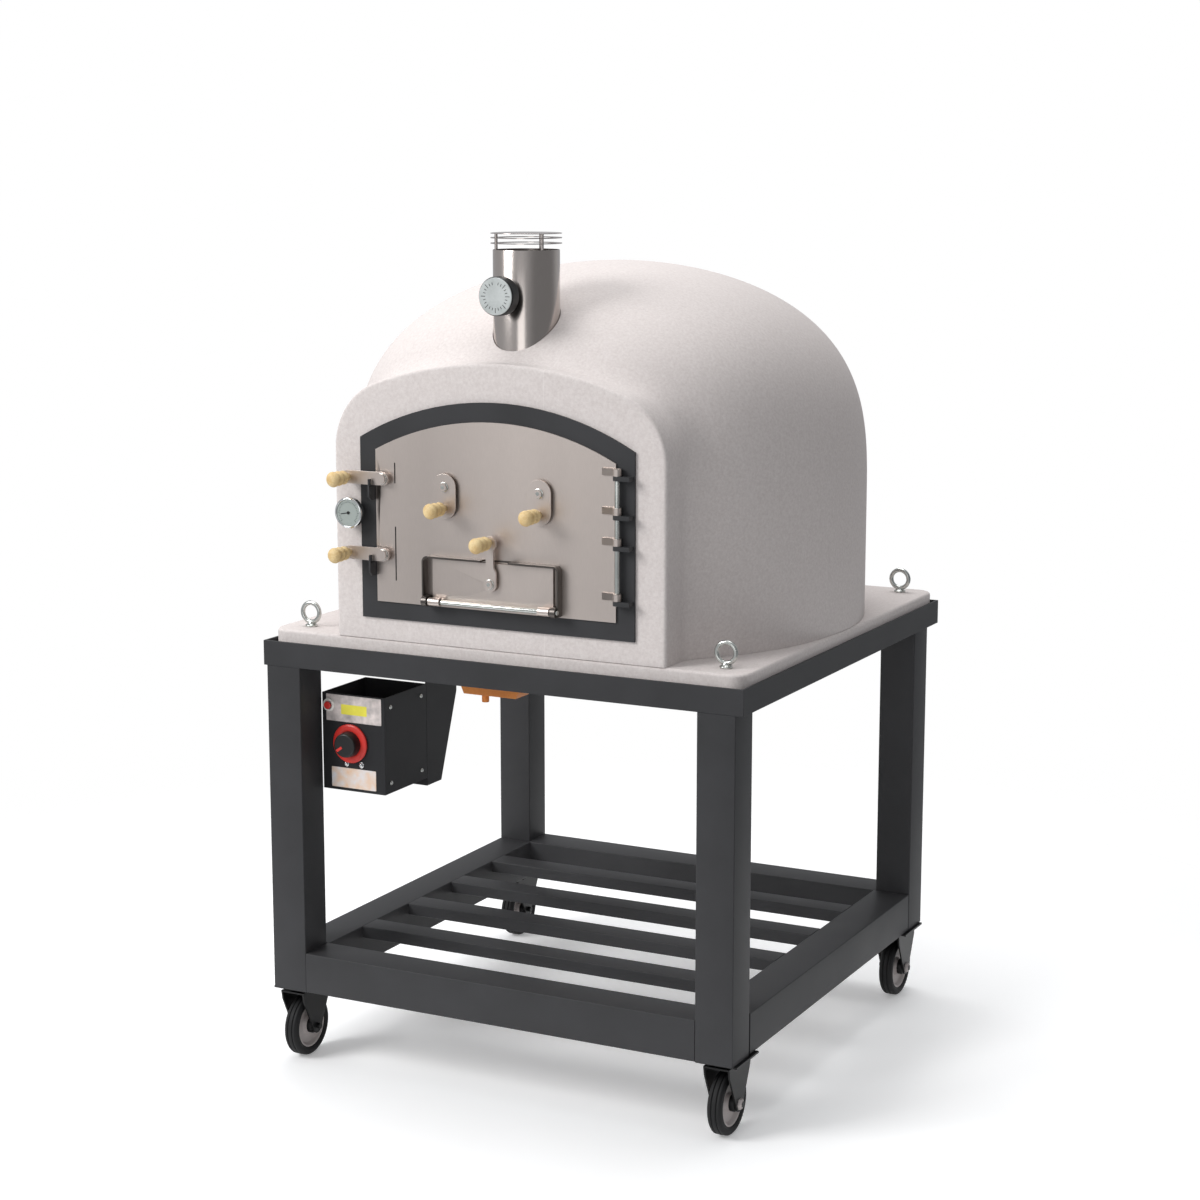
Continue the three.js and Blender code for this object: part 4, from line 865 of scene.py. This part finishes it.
# ---- Bolt heads: zinc-plated domed heads on the studs of the latches, vent covers and flap lever.
# Each sits on its washer in front of the sheet it holds.
def bolt_part(x, y, z, radius):
    """A domed head with its washer, facing -Y from the sheet at y."""
    profile = softened([(0, y - 0.0052), (radius * 0.55, y - 0.0050), (radius * 0.9, y - 0.0036),
                        (radius * 0.98, y - 0.0016),
                        (radius * 1.3, y - 0.0014), (radius * 1.3, y - 0.0002), (0, y - 0.0002)], 0.0004, 3)
    return turned_part(profile, (x, 0, z), 1, 32)


for latch in ("upper", "lower"):
    low, high = node_box(f"latch_bar_{latch}")
    piece(f"latch_bolt_{latch}", [bolt_part(-0.2325, low[1], (low[2] + high[2]) / 2, 0.0082)], "door", zinc)
for side, x in (("left", -0.1), ("right", 0.1)):
    low, high = node_box(f"vent_cover_{side}")
    piece(f"vent_bolt_{side}", [bolt_part(x, low[1], high[2] - 0.025, 0.0072)], "door", zinc)
low, high = node_box("flap_lever")
piece("lever_bolt", [bolt_part(0, low[1], 1.0065, 0.0072)], "flap", zinc)


# ---- Thermometer: a bimetal dial in a chromed bezel on a black neck, its stem through the frame's
# edge into the portal.
chrome = finish("chromed", "#d8dada", "#e6e8e8", (0.06, 0.1), 0.000005, metallic=1.0)
dial_white = finish("dial_white", "#e6e3dc", "#f0eee9", (0.4, 0.5), 0.000005, Coat_Weight=0.6)
signal_red = finish("signal_red", "#c42d26", "#e23a32", (0.3, 0.42), 0.00003, fine=500.0)
low, high = node_box("thermometer")
dial = ((low[0] + high[0]) / 2, 0, (low[2] + high[2]) / 2)
front, back = low[1], high[1]
bezel = softened([(0.0255, front + 0.003), (0.0255, front + 0.0006), (0.027, front), (0.0295, front + 0.0015),
                  (0.03, front + 0.010), (0.0255, front + 0.0105)], 0.0008, 4, closed=True)
piece("dial_bezel", [ring_part(bezel, dial, 1, 64)], "root", chrome, ["thermometer"])
neck_back = oven_y - 0.4983
neck = softened([(0, front + 0.0028), (0.0257, front + 0.0028), (0.0257, front + 0.0104),
                 (0.020, front + 0.0106),
                 (0.0195, neck_back), (0.004, neck_back), (0.004, back), (0, back)], 0.0006, 3)
piece("dial_neck", [turned_part(neck, dial, 1, 48)], "root", black_plastic)
plate = [(0, front + 0.0022), (0.0254, front + 0.0022), (0.0254, front + 0.003), (0, front + 0.003)]
dial_grey = finish("dial_grey", "#98a09c", "#a9b1ad", (0.35, 0.45), 0.000005, Coat_Weight=0.6)
piece("dial_plate", [turned_part(plate, dial, 1, 48)], "root", dial_grey)
marks = [tick_part(dial, 0.019, 0.0045 if step % 5 == 0 else 0.0025, 0.0007, math.radians(-45 + step * 9),
                   front + 0.002) for step in range(31)]
marks += [tick_part(dial, -0.004, 0.021, 0.0016, math.radians(190), front + 0.0018),
          turned_part([(0, front + 0.0012), (0.003, front + 0.0012), (0.003, front + 0.0022),
                       (0, front + 0.0022)],
                      dial, 1, 20)]
piece("dial_marks", marks, "root", black_plastic)


# ---- Gas controls on the coated box: a black knob in a red skirt, a red igniter button in a white
# ring, two plain printed plates without wording, and screws.
low, high = node_box("control_box")
box_front, box_right = low[1], high[0]
kx, kz = -0.359, 0.6505
skirt = softened([(0.025, box_front - 0.0003), (0.0385, box_front - 0.0003), (0.039, box_front - 0.004),
                  (0.036, box_front - 0.006), (0.029, box_front - 0.0068), (0.025, box_front - 0.006)],
                 0.001, 4, closed=True)
piece("knob_skirt", [ring_part(skirt, (kx, 0, kz), 1, 64)], "gas_knob", signal_red,
      ["control_knob"])
cap_profile = softened([(0, box_front + 0.014), (0.005, box_front + 0.014), (0.005, box_front - 0.0003),
                        (0.0256, box_front - 0.0004), (0.0256, box_front - 0.008),
                        (0.0235, box_front - 0.0245),
                        (0.0215, box_front - 0.026), (0, box_front - 0.0258)], 0.0015, 4)
piece("knob_cap", [turned_part(cap_profile, (kx, 0, kz), 1, 56)], "gas_knob", black_plastic)
piece("knob_pointer", [tick_part((kx, 0, kz), 0.006, 0.0145, 0.005, math.radians(215), box_front - 0.0262,
                                 0.001)],
      "gas_knob", signal_red)
bx, bz = -0.408, 0.7235
button_low, button_high = node_box("igniter_button")
button = softened([(0, button_high[1]), (0.005, button_high[1]), (0.005, box_front - 0.005),
                   (0.0075, box_front - 0.0052),
                   (0.0075, button_low[1] + 0.001), (0.0058, button_low[1]), (0, button_low[1])], 0.0008, 4)
piece("button_cap", [turned_part(button, (bx, 0, bz), 1, 32)], "igniter", signal_red,
      ["igniter_button"])
collar = softened([(0.0082, box_front - 0.0003), (0.0135, box_front - 0.0003), (0.0125, box_front - 0.0035),
                   (0.0095, box_front - 0.0042), (0.0082, box_front - 0.0035)], 0.0006, 3, closed=True)
piece("button_ring", [ring_part(collar, (bx, 0, bz), 1, 40)], "root", dial_white)


def printed(name, pale, deep, seed):
    """A printed plate: soft patches between two pale inks, with no lettering."""
    return finish(name, pale, deep, (0.35, 0.45), 0.000004, coarse=seed, fine=90.0, Coat_Weight=0.4)


def label(name, x0, x1, z0, z1, material, proud=0.0006):
    """A printed plate stuck on the box's front, standing `proud` metres off it."""
    flat_low = np.array([x0, box_front - proud, z0])
    flat_high = np.array([x1, box_front - 0.0001, z1])
    piece(name, [bar_between(flat_low, flat_high, 1, 0.0015, 3)], "root", material)


label("label_upper", -0.4145, -0.288, 0.6925, 0.7455, printed("print_pale", "#8f8a88", "#e8dcd8", 38.0))
label("label_band", -0.380, -0.321, 0.7075, 0.7275, printed("print_yellow", "#d9cf3e", "#efe552", 20.0),
      0.0008)
label("label_lower", -0.404, -0.302, 0.560, 0.600, printed("print_warm", "#e6b98a", "#dfe3ea", 34.0))
screws = [bolt_part(kx + dx, box_front, 0.609, 0.0045) for dx in (-0.0107, 0.0238)]
piece("box_screws", screws, "root", chrome)
side_screws = [turned_part(softened([(0, 0.0028), (0.003, 0.0025), (0.0045, 0.001), (0.0045, -0.0001),
                                     (0, -0.0001)],
                                    0.0004, 3), (box_right, box_front + dy, z), 0, 20)
               for dy, z in ((0.022, 0.727), (0.022, 0.575), (0.137, 0.727), (0.137, 0.575))]
piece("box_side_screws", side_screws, "root", zinc)
orange_enamel = finish("orange_enamel", "#c4722c", "#dc8a3e", (0.35, 0.5), 0.00004, coarse=12.0, fine=300.0)
eased("burner_body", "root", orange_enamel, 0.0008)


# ---- Floor: a wide pale sheet for the oven to stand on, fading out to the pale background.
# It isn't part of the oven.
floor_material = finish("studio_floor", "#f8f8f8", "#fcfcfc", (0.6, 0.7), 0.000001, coarse=1.0,
                        Emission_Color=(1, 1, 1, 1), Emission_Strength=0.22)
nodes, links = floor_material.node_tree.nodes, floor_material.node_tree.links
place = nodes.new("ShaderNodeTexCoord")
distance = nodes.new("ShaderNodeVectorMath")
distance.operation = "LENGTH"
links.new(place.outputs["Object"], distance.inputs[0])
fade = nodes.new("ShaderNodeMapRange")
fade.interpolation_type = "SMOOTHSTEP"
fade.inputs["From Min"].default_value = 0.9
fade.inputs["From Max"].default_value = 2.4
fade.inputs["To Min"].default_value = 1.0
fade.inputs["To Max"].default_value = 0.0
links.new(distance.outputs["Value"], fade.inputs["Value"])
links.new(fade.outputs["Result"], nodes["Principled BSDF"].inputs["Alpha"])
floor_mesh = bpy.data.meshes.new("floor")
floor_mesh.from_pydata([(-5, -5, 0), (5, -5, 0), (5, 5, 0), (-5, 5, 0)], [], [(0, 1, 2, 3)])
floor_mesh.materials.append(floor_material)
floor = bpy.data.objects.new("floor", floor_mesh)
bpy.context.scene.collection.objects.link(floor)
